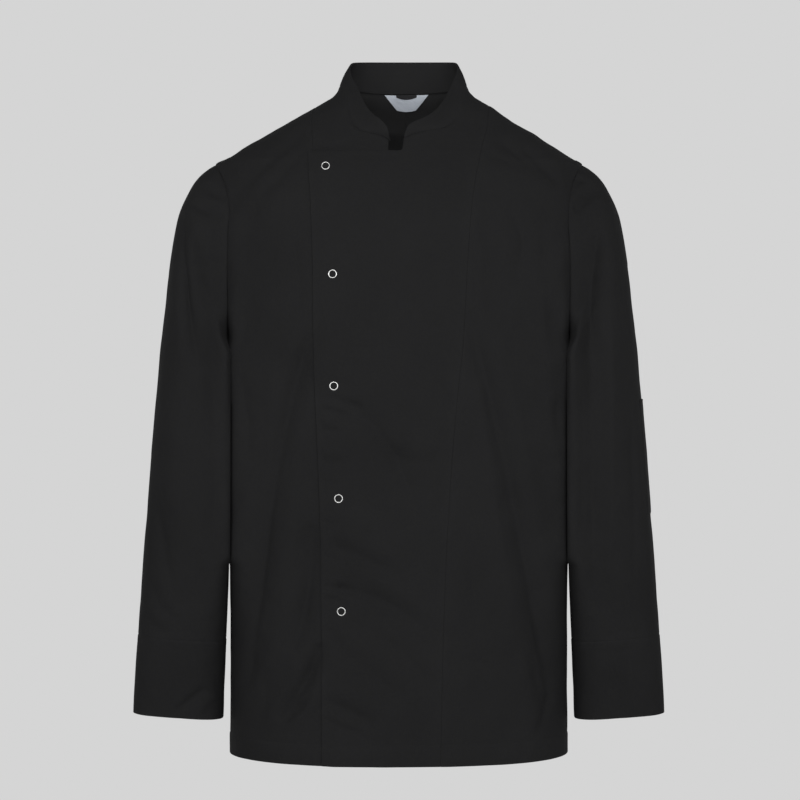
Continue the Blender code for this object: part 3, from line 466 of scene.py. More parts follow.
def along_fold(flat, path):
    """Signed distance from a fold's path, and the place along it from 0 to 1."""
    nearest = np.full(flat.shape[:-1], np.inf)
    signed = np.zeros(flat.shape[:-1])
    place = np.zeros(flat.shape[:-1])
    for i, (start, end) in enumerate(zip(path[:-1], path[1:])):
        run = end - start
        t = np.clip(((flat - start) @ run) / (run @ run), 0, 1)
        offset = flat - start - t[..., None] * run
        gap = np.linalg.norm(offset, axis=-1)
        side = np.sign(run[0] * offset[..., 1] - run[1] * offset[..., 0])
        closer = gap < nearest
        place = np.where(closer, (i + t) / (FOLD_STEPS - 1), place)
        signed = np.where(closer, side * gap, signed)
        nearest = np.minimum(gap, nearest)
    return signed, place


def crease_height(points, outward, cloth):
    """Millimetres that all folds of one piece of cloth move its points outwards.

    Across a fold, the height is -exp(-s^2), with a sharper line of -exp(-(2.6 s)^2) in the
    middle and lips of exp(-((|s| - 1.9) / 0.8)^2), where s is the distance over the fold's
    width. Along it, the depth tapers as the square root of a parabola and wavers by a sine. It
    fades where the cloth turns away from the fold's face.
    """
    height = np.zeros(points.shape[:-1])
    lean = {"front": -outward[..., 1], "back": outward[..., 1], "outer": outward[..., 0]}
    every = np.concatenate([FOLDS, CREASES])
    every["depth"][len(FOLDS):] *= SMALL_DEEPER
    for number, fold in enumerate(every[every["cloth"] == cloth]):
        across = points[..., 1] if fold["face"] == "outer" else points[..., 0]
        shown = np.clip(2.2 * (lean[str(fold["face"])] - 0.25), 0, 1)
        flat = np.stack([across, points[..., 2]], axis=-1)
        signed, place = along_fold(flat, fold_path(fold))
        s = signed / fold["width"]
        lips = bell(np.abs(s), LIP_WIDTH, LIP_AWAY) * LIP * (1 + 0.5 * np.sign(s))
        waver = 0.85 + 0.15 * np.sin(11 * place + 1.7 * number)
        taper = np.sqrt(np.clip(4 * place * (1 - place), 0, 1)) * waver
        trough = bell(s, 1.0) + CORE * bell(CORE_SHARPER * s, 1.0)
        height += fold["depth"] * shown * taper * (lips - trough)
    return height


print("the deepest fold goes in by", round(float(FOLDS["depth"].max()) * (1 + CORE), 1), "mm")

# %% Broad waves
# Each wave: its direction, its length from crest to crest, its height and its phase.
WAVES = table(
    ("x", "y", "z", "length", "height", "phase"),
    [
        (0.96, 0.20, 0.18, 61.0, 0.42, 0.3),
        (0.80, -0.35, -0.48, 47.0, 0.30, 2.1),
        (0.55, 0.30, 0.78, 73.0, 0.42, 4.0),
        (-0.42, 0.45, 0.79, 39.0, 0.20, 1.2),
        (0.90, 0.10, -0.42, 29.0, 0.14, 5.1),
        (0.30, -0.60, 0.74, 24.0, 0.10, 0.9),
        (-0.75, 0.25, 0.61, 19.0, 0.07, 3.3),
        (0.98, -0.15, 0.10, 15.0, 0.05, 2.7),
    ],
)
BEND = 0.9                # how far a slow wave bends the others, in radians


def rumple(points):
    """The sum of eight plane waves, each a sine along its direction, bent by a slow one."""
    direction = np.stack([WAVES["x"], WAVES["y"], WAVES["z"]])
    phase = 2 * math.pi * (points @ direction) / WAVES["length"] + WAVES["phase"]
    slow = np.sin(points @ np.array([0.031, -0.022, 0.017]))
    slow += np.sin(points @ np.array([-0.013, 0.027, 0.035]) + 1.0)
    return np.sin(phase + BEND * slow[..., None]) @ WAVES["height"]


def stillness(points, outward):
    """Share of the waves that is left: few on the smooth upper front and on the sides.

    It falls between |x| = 110 and 70 and between the heights -420 and -310, to where the cloth
    lies flat over the chest, and where the cloth faces sideways, which is stretched smooth.
    """
    ahead = step_up(-outward[..., 1], 0.5, 0.9)
    middle = 1 - step_up(np.abs(points[..., 0]), 70.0, 110.0)
    high = step_up(points[..., 2], -420.0, -310.0)
    rim = step_up(np.abs(outward[..., 0]), 0.7, 0.95)
    return (1 - 0.85 * ahead * middle * high) * (1 - 0.7 * rim)


sample = body_point(np.linspace(-3, 0, 7), np.full(7, -400.0))
print("waves move the cloth by", rumple(sample).round(2), "mm")

# %% [markdown]
# ## Where a sleeve hangs against the body
#
# A hanging sleeve lies against the side of the chest, and from the front only a thin line
# shows between the two. If each kept to its own oval, a deep and dark valley would open there.
# So every point near the valley moves forwards and fills it. Below the arm both sides also
# push towards each other until they lie flat on one upright plane. At the armhole, where the
# two are sewn together, a move depends on the place alone, so that the seam stays closed.

# %% Pressing the two together
# Each row fills the valley out by a bell curve across it, between two heights.
FILLS = table(
    ("across", "width", "low", "high", "forward"),
    [
        (193.0, 20.0, -580.0, -140.0, 12.0),
        (197.0, 16.0, -350.0, -240.0, 13.0),
        (193.0, 10.0, -312.0, -250.0, 6.0),
    ],
)
FILL_FADE = 40.0          # a fill starts and ends softly over this height on each side
ARMHOLE_IN = 5.0          # how far the armhole's lower front lies in towards the chest
ARMHOLE_AT, ARMHOLE_WIDTH = 198.0, 16.0
ARMHOLE_SPAN = (-325.0, -288.0), (-288.0, -180.0)
PUSH = 7.0                # how far the two push towards each other below the arm
PUSH_AT, PUSH_WIDTH = 194.0, 20.0
PUSH_SPAN = (-547.0, -535.0), (-312.0, -282.0)
PUSH_GAP = 0.15           # what each keeps from the plane where they meet
LET_GO = 40.0             # how far that plane stands off where the two don't touch
AHEAD = 20.0, 60.0        # all this is on the front: it starts softly this far forward
MEET_AT = 196.9           # where the body and a hanging sleeve meet, out from the middle
MEET_SLANT, MEET_BEND = 0.105, -25.0   # in front of this y, that place turns inwards
HEM_SAG = 1.4             # how far the hem's middle hangs below its ends
HEM_SAG_REACH, HEM_SAG_UP = 160.0, 80.0


def meeting_plane(y):
    """Distance from the middle to the plane where the body and a hanging sleeve meet."""
    return MEET_AT + MEET_SLANT * np.minimum(y - MEET_BEND, 0.0)


def press(points, cloth):
    """Points of the body or a sleeve, pressed together where the sleeve hangs against it."""
    x, y, z = (points[..., i] for i in range(3))
    side = np.where(x < 0, -1.0, 1.0)
    ahead = step_up(-y, *AHEAD)
    beside = bell(np.abs(x), ARMHOLE_WIDTH, ARMHOLE_AT) * ahead
    x = x - side * ARMHOLE_IN * beside * within(z, *ARMHOLE_SPAN)
    for fill in FILLS:
        low, high = ((fill[end] - FILL_FADE, fill[end] + FILL_FADE) for end in ("low", "high"))
        across = bell(np.abs(x), fill["width"], fill["across"]) * ahead
        y = y - fill["forward"] * across * within(z, low, high)
    below = within(z, *PUSH_SPAN)
    push = PUSH * bell(np.abs(x), PUSH_WIDTH, PUSH_AT) * ahead * below
    stand_off = PUSH_GAP - LET_GO * (1 - below)
    if cloth == "body":
        out = np.minimum(np.abs(x) + push, meeting_plane(y) - stand_off)
        sag = HEM_SAG * (1 - (x / HEM_SAG_REACH) ** 2)
        z = z - sag * (1 - step_up(z, HEM, HEM + HEM_SAG_UP))
    else:
        out = np.maximum(np.abs(x) - push, meeting_plane(y) + stand_off)
    return np.stack([side * out, y, z], axis=-1)


def lay_cloth(points, outward, cloth, seam=0.0):
    """Points moved outwards by the creases, the waves and the height of the seams."""
    height = crease_height(points, outward, cloth)
    height += rumple(points) * stillness(points, outward)
    return press(points + (height + seam)[..., None] * outward, cloth)


def body_facing(turn, height):
    return facing(body_point, turn, height, 0.002, 0.5)


def sleeve_facing(station, turn):
    return facing(sleeve_point, station, turn, 0.02, 0.004)


print("the valley under the arm is filled by", float(FILLS["forward"].sum()), "mm at most")

# %% [markdown]
# ## Rows and columns that keep an even size
#
# A panel is a grid: rows run from one seam to the other, columns run up the cloth. If the
# columns were spread by angle they would crowd at the sides, so they are set out by length in
# millimetres instead. Beside a seam they stand close together, because a seam is a groove
# about two millimetres wide with a slightly raised, stitched band next to it.

# %% Setting out a panel
CELL = 3.4                # a cell's usual size
BESIDE_SEAM = np.array([0.0, 0.5, 1.2, 2.0, 3.2, 4.8, 6.5])
MEETING = np.array([0.0])  # where two grids of one panel meet without a seam
SEAM_DEPTH, SEAM_WIDTH = 0.28, 1.1
SEAM_BAND = 0.10          # how far the folded-in seam allowance lifts the cloth
BAND_WIDTH = 8.0
PUCKERED = 7.0            # how far from a seam the cloth puckers
COLLAR_VALLEY, VALLEY_WIDTH = 1.5, 4.5


def lengths(points):
    """Length along each row from its first point, adding up the steps."""
    steps = np.linalg.norm(np.diff(points, axis=1), axis=-1)
    return np.concatenate([np.zeros((len(steps), 1)), np.cumsum(steps, axis=1)], axis=1)


def lengths_down(points):
    """Length down each column from its first row."""
    return lengths(np.swapaxes(points, 0, 1)).T


def set_out(surface, first, last, near=BESIDE_SEAM, far=BESIDE_SEAM):
    """Parameters of a grid whose rows run straight from `first` to `last`, and its lengths.

    The columns stand at the distances `near` from each row's first point and `far` from its
    last one, and evenly between.
    """
    share = np.linspace(0, 1, 121)
    rough = first[:, None] + (last - first)[:, None] * share[None, :, None]
    length = lengths(surface(rough[..., 0], rough[..., 1]))
    whole = length[:, -1:]
    room = whole - near[-1] - far[-1]
    count = max(round(float(room.max()) / CELL), 4)
    inner = near[-1] + room * np.linspace(0, 1, count + 1)[None, 1:-1]
    place = np.concatenate([near + 0 * whole, inner, whole - far[::-1]], axis=1)
    t = np.array([np.interp(want, have, share) for want, have in zip(place, length)])
    return first[:, None] + (last - first)[:, None] * t[..., None], place, whole


def groove(distance):
    """The dip of a seam: a bell curve 1.1 mm wide."""
    return -SEAM_DEPTH * bell(distance, SEAM_WIDTH)


def valley(distance, height):
    """The wide, soft dip where the collar stands up from the neck, in front only."""
    low = 1 - step_up(height, -30.0, -10.0)
    return -COLLAR_VALLEY * bell(distance, VALLEY_WIDTH) * low


def band(distance, width=BAND_WIDTH):
    """The raised strip over a seam allowance: it starts at the seam and ends softly."""
    return SEAM_BAND * step_up(distance, 0.4, 1.6) * (1 - step_up(distance, width - 1.5, width))


def tucked(points, outward, under=1.6, inwards=1.3):
    """A first row more, under the piece that this one is sewn to.

    It lies `under` millimetres on from the first row, away from the second one, and `inwards`
    below the face, so that no light shows through the seam.
    """
    back = unit(points[0] - points[1])
    return np.concatenate([(points[0] + under * back - inwards * outward[0])[None], points])


def with_first(rows):
    """The same array with its first row twice, to go with `tucked`."""
    return np.concatenate([rows[:1], rows])


print("a seam's band rises by", band(np.array([0.0, 2.0, 6.0, 9.0])).round(2))

# %% [markdown]
# ## From a grid to a mesh
#
# Every cloth piece is made by one function. It takes the grid's points, drops the cells that
# are cut away, turns the faces outwards, and keeps two things for the material: a UV map in
# metres along the cloth, so that the weave follows each panel, and a number that says how near
# a stitched edge is, where the twill puckers. Solidify then gives the sheet its thickness
# inwards, and a small Bevel rounds its rims, as folded cloth is round.

# %% Cloth meshes
CLOTH = 1.4               # thickness of a panel with its allowance
DOUBLE = 2.2              # cuffs and collar: two layers


def cells_of(rows, columns):
    """Corner numbers of each cell of a grid, by row and column."""
    number = np.arange(rows * columns).reshape(rows, columns)
    corners = [number[:-1, :-1], number[:-1, 1:], number[1:, 1:], number[1:, :-1]]
    return np.stack(corners, axis=-1)


def cloth_mesh(name, points, outward, uv, edge, closed=False, keep=None):
    """A mesh of one layer of cloth. A closed grid repeats its first column as its last."""
    rows, columns = points.shape[:2]
    cells = cells_of(rows, columns)
    cells = cells.reshape(-1, 4) if keep is None else cells[keep]
    around = columns - 1 if closed else columns
    corner = (cells // columns) * around + (cells % columns) % around
    flat = points[:, :around].reshape(-1, 3)
    used, corner = np.unique(corner, return_inverse=True)
    corner = corner.reshape(-1, 4)
    place = flat[used]
    across = np.cross(place[corner[:, 2]] - place[corner[:, 0]],
                      place[corner[:, 3]] - place[corner[:, 1]])
    out = outward[:, :around].reshape(-1, 3)[used]
    if np.einsum("ij,ij->", across, out[corner[:, 0]]) < 0:
        corner, cells = corner[:, ::-1], cells[:, ::-1]
    mesh = bpy.data.meshes.new(name)
    mesh.from_pydata((place * MM).tolist(), [], corner.tolist())
    layer = mesh.uv_layers.new(name="cloth")
    layer.uv.foreach_set("vector", (uv.reshape(-1, 2)[cells.ravel()] * MM).ravel())
    near = mesh.attributes.new("stitched", "FLOAT", "POINT")
    near.data.foreach_set("value", edge[:, :around].ravel()[used])
    mesh.shade_smooth()
    return mesh


panels = {}               # the grids of all panels, for the stitches and the sizes


def add_cloth(name, node, grid, wall, finish, rim_width=0.35, tuck=False,
              closed=False, keep=None):
    """`grid` holds its points, outward directions, UV in millimetres and puckered share.
    """
    points, outward = panels[name] = grid[:2]
    if tuck:
        grid = tucked(points, outward), *(with_first(rows) for rows in grid[1:])
    mesh = cloth_mesh(name, *grid, closed=closed, keep=keep)
    mesh.materials.append(finish)
    piece = bpy.data.objects.new(name, mesh)
    bpy.context.scene.collection.objects.link(piece)
    thick = piece.modifiers.new("thickness", "SOLIDIFY")
    thick.thickness = wall * MM
    thick.offset = -1.0
    thick.use_even_offset = False
    rim = piece.modifiers.new("round_rim", "BEVEL")
    rim.limit_method = "ANGLE"
    rim.angle_limit = math.radians(60)
    rim.width = rim_width * MM
    rim.segments = 2
    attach(piece, "root")
    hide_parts(node)
    print(name, points.shape, "width, length, area:", np.round(size_of(points), 4))


def size_of(points):
    """Width and length of a panel along its middle row and column, and its area, in metres."""
    middle_row, middle_column = (count // 2 for count in points.shape[:2])
    width = lengths(points[middle_row][None])[0, -1]
    length = lengths(points[:, middle_column][None])[0, -1]
    first = points[1:, 1:] - points[:-1, :-1]
    second = points[1:, :-1] - points[:-1, 1:]
    area = np.linalg.norm(np.cross(first, second), axis=-1).sum() / 2
    return width * MM, length * MM, area * MM**2


print("a cell is", CELL, "mm; a panel is", CLOTH, "mm thick")

# %% [markdown]
# ## Shader sums as Python
#
# A material is a graph of nodes, and a long graph is hard to read. A small class wraps one
# output, so that `1 - mask * 0.4` adds its Math nodes by itself. One method makes every other
# node: it takes the node's type, its settings and the values or links of its sockets.

# %% Sums
class Value:
    """One output of a node, ready for Python's operators."""

    def __init__(self, nodes, output):
        self.nodes = nodes
        self.output = output

    def __add__(self, other):
        return self.nodes.maths("ADD", self, other)

    def __radd__(self, other):
        return self.nodes.maths("ADD", other, self)

    def __sub__(self, other):
        return self.nodes.maths("SUBTRACT", self, other)

    def __rsub__(self, other):
        return self.nodes.maths("SUBTRACT", other, self)

    def __mul__(self, other):
        return self.nodes.maths("MULTIPLY", self, other)

    def __rmul__(self, other):
        return self.nodes.maths("MULTIPLY", other, self)

    def __lt__(self, limit):
        return self.nodes.maths("LESS_THAN", self, limit)

    def __gt__(self, limit):
        return self.nodes.maths("GREATER_THAN", self, limit)

    def __abs__(self):
        return self.nodes.maths("ABSOLUTE", self)


print("operators:", [name for name in vars(Value) if name.startswith("__")])

# %% Nodes of a tree
class Nodes:
    """A node tree that nodes are added to."""

    def __init__(self, tree):
        self.tree = tree

    def node(self, kind, settings=None, sockets=None, output=0):
        """Adds a node, by its type, its settings and the values or links of its sockets."""
        made = self.tree.nodes.new(kind)
        for setting, value in (settings or {}).items():
            setattr(made, setting, value)
        for socket, value in (sockets or {}).items():
            if isinstance(value, Value):
                self.tree.links.new(value.output, made.inputs[socket])
            else:
                made.inputs[socket].default_value = value
        return Value(self, made.outputs[output])

    def maths(self, operation, *values):
        return self.node("ShaderNodeMath", {"operation": operation}, dict(enumerate(values)))

    def part(self, vector, axis):
        """One of a vector's three numbers."""
        return self.node("ShaderNodeSeparateXYZ", {}, {"Vector": vector}, axis)

    def ribs(self, distance, pitch):
        """A wave from 0 to 1 and back over each pitch: sin(2 pi distance / pitch) / 2 + 1/2."""
        return self.maths("SINE", distance * (2 * math.pi / pitch)) * 0.5 + 0.5

    def between(self, share, low, high):
        """A colour from low to high, by a share from 0 to 1. Either may be a node's output."""
        low, high = (colour if isinstance(colour, Value) else (*colour, 1.0)
                     for colour in (low, high))
        return self.node("ShaderNodeMix", {"data_type": "RGBA"},
                         {"Factor": share, 6: low, 7: high}, 2)


print("a tree adds:", [name for name in vars(Nodes) if not name.startswith("_")])

# %% Materials
class Finish(Nodes):
    """A material with one Principled shader. Constants are set on its own sockets."""

    def __init__(self, name, colour, **constants):
        self.material = bpy.data.materials.new(name)
        self.material.use_nodes = True
        self.material.diffuse_color = (*colour, 1.0)
        super().__init__(self.material.node_tree)
        self.shader = self.tree.nodes["Principled BSDF"]
        self.shader.inputs["Base Color"].default_value = (*colour, 1.0)
        for socket, value in constants.items():
            self.shader.inputs[socket.replace("_", " ")].default_value = value

    def feed(self, socket, value):
        """Links a value that changes over the surface to the shader."""
        self.tree.links.new(value.output, self.shader.inputs[socket])

    def on_cloth(self):
        """Metres along and up the panel, from its own UV map."""
        return self.node("ShaderNodeUVMap", {"uv_map": "cloth"})

    def in_space(self):
        """Metres on the jacket, from its middle."""
        return self.node("ShaderNodeTexCoord", {}, {}, "Object")

    def stitched(self):
        """1 at a stitched edge, 0 away from it."""
        return self.node("ShaderNodeAttribute", {"attribute_name": "stitched"}, {}, "Fac")

    def noise(self, place, scale, detail=2.0, roughness=0.5):
        sockets = {"Vector": place, "Scale": scale, "Detail": detail, "Roughness": roughness}
        return self.node("ShaderNodeTexNoise", {}, sockets)

    def bump(self, height, depth, after=None):
        """A bump whose height runs from 0 to `depth` metres."""
        sockets = {"Height": height, "Distance": depth, "Strength": 1.0}
        if after is not None:
            sockets["Normal"] = after
        return self.node("ShaderNodeBump", {}, sockets)


print("a material adds:", [name for name in vars(Finish) if not name.startswith("_")])

# %% [markdown]
# ## Black twill
#
# Twill shows as fine diagonal ribs, because each weft thread goes over two or more warp
# threads and the next row starts one thread further along. The ribs here are a sine across the
# diagonal of the cloth's own UV map, 0.8 mm apart, broken up by the yarns that cross them.
# Under them lie two softer reliefs: the small crumples that washing leaves, on the object's
# own coordinates, and the puckers along stitched edges, which the `stitched` attribute calls
# up. The black is a near-black grey, a little lighter where the ribs stand up and rub, and a
# little lighter along stitched edges, partly dust and partly a painted highlight on the seam
# ridges. Where the inside of the back shows through the neck, its paler colour is painted light.

# %% Twill
RIB = 0.0008              # metres from one twill rib to the next
YARN = 0.0005
RIB_SLANT = 0.85          # steps across for each step up
CRUMPLE_DEPTH = 0.0011
PUCKER_DEPTH = 0.0012
WEAVE_DEPTH = 0.00007
# The inside of the back shows through the neck. Painted light stands in for the light that
# comes down the collar there: its faces that look forwards get a paler colour than the face,
# more so low down and below the collar's seam.
INSIDE_FROM = 0.01        # it lies behind this
INSIDE_HALF = 0.13        # and within this distance of the middle
INSIDE_LOW, INSIDE_HIGH = -0.075, -0.015
PAINTED_INSIDE_BRIGHT, PAINTED_INSIDE_DIM = (0.040, 0.040, 0.041), (0.027, 0.027, 0.0275)
COLLAR_LINE = 0.0094


def seen_inside(finish, place):
    """Share of the painted light on the inside: faces behind the middle that look forwards."""
    normal = finish.node("ShaderNodeNewGeometry", {}, {}, "True Normal")
    forwards = finish.part(normal, "Y") < -0.1
    behind = finish.part(place, "Y") > INSIDE_FROM
    middle = abs(finish.part(place, "X")) < INSIDE_HALF
    below_collar = finish.part(place, "Z") < COLLAR_LINE
    return forwards * behind * middle * (0.3 + 0.5 * below_collar)


def twill_finish(name, deep, worn_and_edge_highlight):
    finish = Finish(name, deep, Roughness=0.9, Specular_IOR_Level=0.06, Sheen_Weight=0.01,
                    Sheen_Roughness=0.4)
    cloth, place, stitched = finish.on_cloth(), finish.in_space(), finish.stitched()
    across = finish.part(cloth, "X")
    rib = finish.ribs(across * RIB_SLANT + finish.part(cloth, "Y"), RIB)
    weave = rib * 0.7 + finish.ribs(across, YARN) * 0.3
    crumple = finish.noise(place, 34.0, 3.0, 0.55)
    fuzz = finish.noise(place, 420.0, 2.0, 0.6)
    patches = finish.noise(place, 9.0, 2.0, 0.5)
    stretched = finish.node("ShaderNodeMapping", {}, {"Vector": cloth, "Scale": (95, 60, 1)})
    pucker = finish.noise(stretched, 1.0, 1.0, 0.4)
    soft = finish.bump(crumple, CRUMPLE_DEPTH)
    gathered = finish.bump(pucker * stitched, PUCKER_DEPTH, soft)
    finish.feed("Normal", finish.bump(weave * 0.8 + fuzz * 0.2, WEAVE_DEPTH, gathered))
    # Stitched edges come out a little lighter: partly dust, partly a painted highlight on the seam
    # ridges.
    tone = rib * 0.25 + fuzz * 0.4 + patches * 0.35 + stitched * 0.04
    low = finish.node("ShaderNodeMapRange", {}, {
        "Value": finish.part(place, "Z"), "From Min": INSIDE_LOW, "From Max": INSIDE_HIGH,
        "To Min": 1.0, "To Max": 0.0})
    # Painted light: where the inside of the back shows through the neck, its colour is paler, most
    # of all low down.
    inner = finish.between(low, PAINTED_INSIDE_DIM, PAINTED_INSIDE_BRIGHT)
    face = finish.between(tone, deep, worn_and_edge_highlight)
    finish.feed("Base Color", finish.between(seen_inside(finish, place), face, inner))
    finish.feed("Roughness", 0.94 - 0.1 * rib)
    return finish.material


twill = twill_finish("black_twill", (0.0085, 0.0085, 0.0088), (0.0195, 0.0195, 0.0200))
print(len(twill.node_tree.nodes), "nodes in", twill.name)

# %% [markdown]
# ## Back panels
#
# The back is two panels sewn down the middle. Each is cut in one piece from the hem to the
# neck, so its outline is the centre seam on one side, and on the other the side seam, half of
# the armhole and the shoulder seam in turn. Both sides are written as (turn, height) pairs on
# the body's form, and straight rows between them fill the panel.

# %% Outlines on the body's form
ROWS_UP = (46, 31, 22)    # from the underarm to the chest, the front's top and the shoulder
LOWER = HEM + np.concatenate([
    [0.0, 1.5, 4.0, 7.0, 10.5, 14.0, 17.5, 20.5, 22.0, 23.0, 24.0, 25.5],
    np.linspace(28.5, UNDERARM - HEM, 136),
])
SHOULDER_ROWS = 52        # up the back's shoulder seam
HEM_STITCH = 23.0         # height of the hem's stitching above its edge
HEM_LIFT, HEM_GROOVE, HEM_GROOVE_WIDTH = 0.55, 0.45, 1.3


def heights_between(stops, rows):
    """Heights up a seam: even rows between one stop and the next."""
    spans = zip(stops[:-1], stops[1:], rows)
    return np.append(np.concatenate([np.linspace(low, high, count, endpoint=False)
                                     for low, high, count in spans]), stops[-1])


UPPER = heights_between((UNDERARM, CHEST, FRONT_TOP, YOKE_LINE), ROWS_UP)[1:]
FRONT_HEIGHTS = np.concatenate([LOWER, UPPER])


def side_outline(face):
    """Turn and height up the left side seam, then round one half of the armhole."""
    seam = np.stack([np.zeros_like(LOWER), LOWER], axis=-1)
    share = np.linspace(0, 1, len(UPPER) + 1)[1:]
    loop = armhole_point(-face * math.pi * share)
    turn = turn_at_y(loop[:, 1], loop[:, 2])
    turn[-1] = 0.0
    return np.concatenate([seam, np.stack([turn, loop[:, 2]], axis=-1)])


def mirrored(outline, face, side):
    """The same outline on the right side, when `side` is -1."""
    if side > 0:
        return outline
    return np.stack([face * math.pi - outline[:, 0], outline[:, 1]], axis=-1)


def hem_relief(height):
    """The hem's double layer stands out up to its stitching, which pulls a groove."""
    up = height - HEM
    lift = HEM_LIFT * (1 - step_up(up, HEM_STITCH - 1.0, HEM_STITCH + 1.5))
    return lift - HEM_GROOVE * bell(up, HEM_GROOVE_WIDTH, HEM_STITCH)


def near_hem(height):
    """How much the hem puckers: a bell curve 16 mm wide a little below its stitching."""
    return bell(height - HEM, 16.0, HEM_STITCH * 0.6)


def cloth_uv(place, points):
    """Millimetres along the rows and up the cloth, by the length of the middle column."""
    middle = points.shape[1] // 2
    up = lengths(points[:, middle][None])[0]
    return np.stack([place, np.repeat(up[:, None], place.shape[1], axis=1)], axis=-1)


def body_panel(seam, outline, bands):
    """The grid of a panel whose rows run on the body from its long seam to its outline.

    `bands` takes the distances from the outline and from the top end, and gives the height of
    the raised strips there.
    """
    grid, place, whole = set_out(body_point, seam, outline)
    turn, height = grid[..., 0], grid[..., 1]
    base = body_point(turn, height)
    outward = body_facing(turn, height)
    down = lengths_down(base[::-1])[::-1]
    rest = whole - place
    seams = groove(place) + groove(rest) + groove(down) + band(place) + hem_relief(height)
    points = lay_cloth(base, outward, "body", seams + bands(rest, down))
    edge = bell(np.minimum(place, rest), PUCKERED) + near_hem(height)
    return points, outward, cloth_uv(place, points), np.clip(edge, 0, 1)


print(len(FRONT_HEIGHTS), "rows up the front")

# %% Back panels
def centre_back(height):
    return smooth(height, BACK_SEAM["height"], BACK_SEAM["across"])


def back_panel(side):
    shoulder = np.linspace(SHOULDER_TIP, NECK_BACK, SHOULDER_ROWS)[1:]
    outline = np.concatenate([side_outline(1), np.stack([0 * shoulder, shoulder], axis=-1)])
    outline = mirrored(outline, 1, side)
    height = outline[:, 1]
    seam = np.stack([turn_at_x(centre_back(height), height, 1), height], axis=-1)
    return body_panel(seam, outline, lambda rest, down: band(rest, 7.0))


SIDES = ((1, "left"), (-1, "right"))
for side, word in SIDES:
    add_cloth(f"cloth_back_{word}", f"back_{word}", back_panel(side), CLOTH, twill)

# %% [markdown]
# ## Side fronts
#
# Each side front runs from the long front seam to the side seam, the armhole and the shoulder.
# The left one meets the upper front at a seam that shows from neck to hem. The right one meets
# the lower front, and most of that seam lies hidden under the crossing.

# %% Side fronts
def front_line(name, height):
    return smooth(height, FRONT["height"], FRONT[name])


def side_front(side):
    line = front_line("seam" if side > 0 else "lower_seam", FRONT_HEIGHTS)
    turn = turn_at_x(line, FRONT_HEIGHTS, -1)
    turn[-1] = 0.0 if side > 0 else -math.pi
    seam = np.stack([turn, FRONT_HEIGHTS], axis=-1)
    outline = mirrored(side_outline(-1), -1, side)
    return body_panel(seam, outline, lambda rest, down: band(down, 9.0))


for side, word in SIDES:
    name = f"side_front_{word}"
    add_cloth(f"cloth_{name}", name, side_front(side), CLOTH, twill)

# %% [markdown]
# ## The crossing
#
# The fronts overlap by a hand's width. The upper front lies over the lower one, so it is
# lifted off the body's form by the thickness of the layers below, and comes down to that form
# at its own seam. The lower front does the opposite and sinks under it. Above the level top
# edge only the narrow strip beside the collar goes on, so each panel is a wide grid and a
# narrow one side by side, and the cells of the wide one end at the top edge.

# %% How the fronts lie on each other
LAYER = 3.6               # outer face of the lower front to outer face of the upper front
NOTCH_LEFT = 3.6          # where the collar's two ends leave the crossing's top edge
NOTCH_RIGHT = -11.8
EDGE_STITCH = 6.5         # stitching inside the free edges
EDGE_DROP = 2.05          # how far the upper front's edge bends down to the lower front
EDGE_BENDS = 16.0         # and over what width
DIMPLE, DIMPLE_WIDTH = 0.7, 9.0
FREE_EDGE = np.array([0.0, 0.8, 2.0, 3.6, 5.2, 6.5, 7.8])
STUDS = table(
    ("across", "height"),
    [(-82.2, -94.1), (-73.6, -217.0), (-72.3, -341.7), (-67.1, -467.4), (-63.9, -593.5)],
)


def crossing(x, height):
    """0 at the lower front's seam to 1 at the upper front's seam, with soft ends."""
    return step_up(x, front_line("lower_seam", height), front_line("seam", height))


def front_lift(x, height, side):
    share = crossing(x, height)
    return LAYER * (1 - share) if side > 0 else -LAYER * share


def dimples(points):
    """A press stud pulls the cloth in: a bell curve of the distance round each."""
    apart = np.hypot(points[..., None, 0] - STUDS["across"],
                     points[..., None, 2] - STUDS["height"])
    return -DIMPLE * bell(apart, DIMPLE_WIDTH).sum(axis=-1)


print("the upper front lies", front_lift(np.array(-60.0), np.array(-300.0), 1).round(2),
      "mm out beside a stud")

# %% The neckline
COLLAR_COLUMNS = ("seam_x", "seam_z", "edge_x", "edge_y", "edge_z")
COLLAR_LEFT = table(
    COLLAR_COLUMNS,
    [
        (6.0, -60.5, 6.4, -74.5, -54.0),
        (10.0, -57.5, 9.0, -73.5, -47.5),
        (17.0, -53.8, 13.5, -72.0, -42.5),
        (27.0, -51.2, 21.0, -69.0, -38.5),
        (37.5, -49.4, 29.0, -64.0, -35.0),
        (48.8, -46.8, 37.0, -58.0, -29.5),
        (58.2, -41.2, 43.5, -51.0, -23.5),
        (64.9, -32.5, 48.5, -43.0, -16.5),
        (68.3, -20.0, 53.0, -34.0, -8.5),
        (69.3, -8.0, 57.5, -25.0, 0.5),
        (71.0, 1.0, 61.0, -17.0, 9.0),
        (75.0, 7.0, 66.0, -8.0, 20.0),
    ],
)
COLLAR_RIGHT = table(
    COLLAR_COLUMNS,
    [
        (-11.6, -60.5, -11.6, -74.5, -54.0),
        (-15.0, -57.5, -12.8, -73.5, -48.0),
        (-21.5, -54.2, -15.5, -72.0, -43.5),
        (-29.0, -52.2, -20.5, -69.0, -38.0),
        (-37.0, -50.6, -26.5, -63.0, -32.8),
        (-45.0, -47.0, -31.0, -57.0, -28.5),
        (-51.6, -40.8, -35.5, -50.0, -22.5),
        (-56.2, -31.5, -39.0, -42.5, -16.0),
        (-58.8, -19.5, -42.3, -34.0, -8.5),
        (-58.8, -8.0, -45.8, -25.5, 0.5),
        (-60.0, 1.0, -49.5, -17.5, 9.0),
        (-64.0, 7.0, -55.0, -8.0, 20.0),
    ],
)
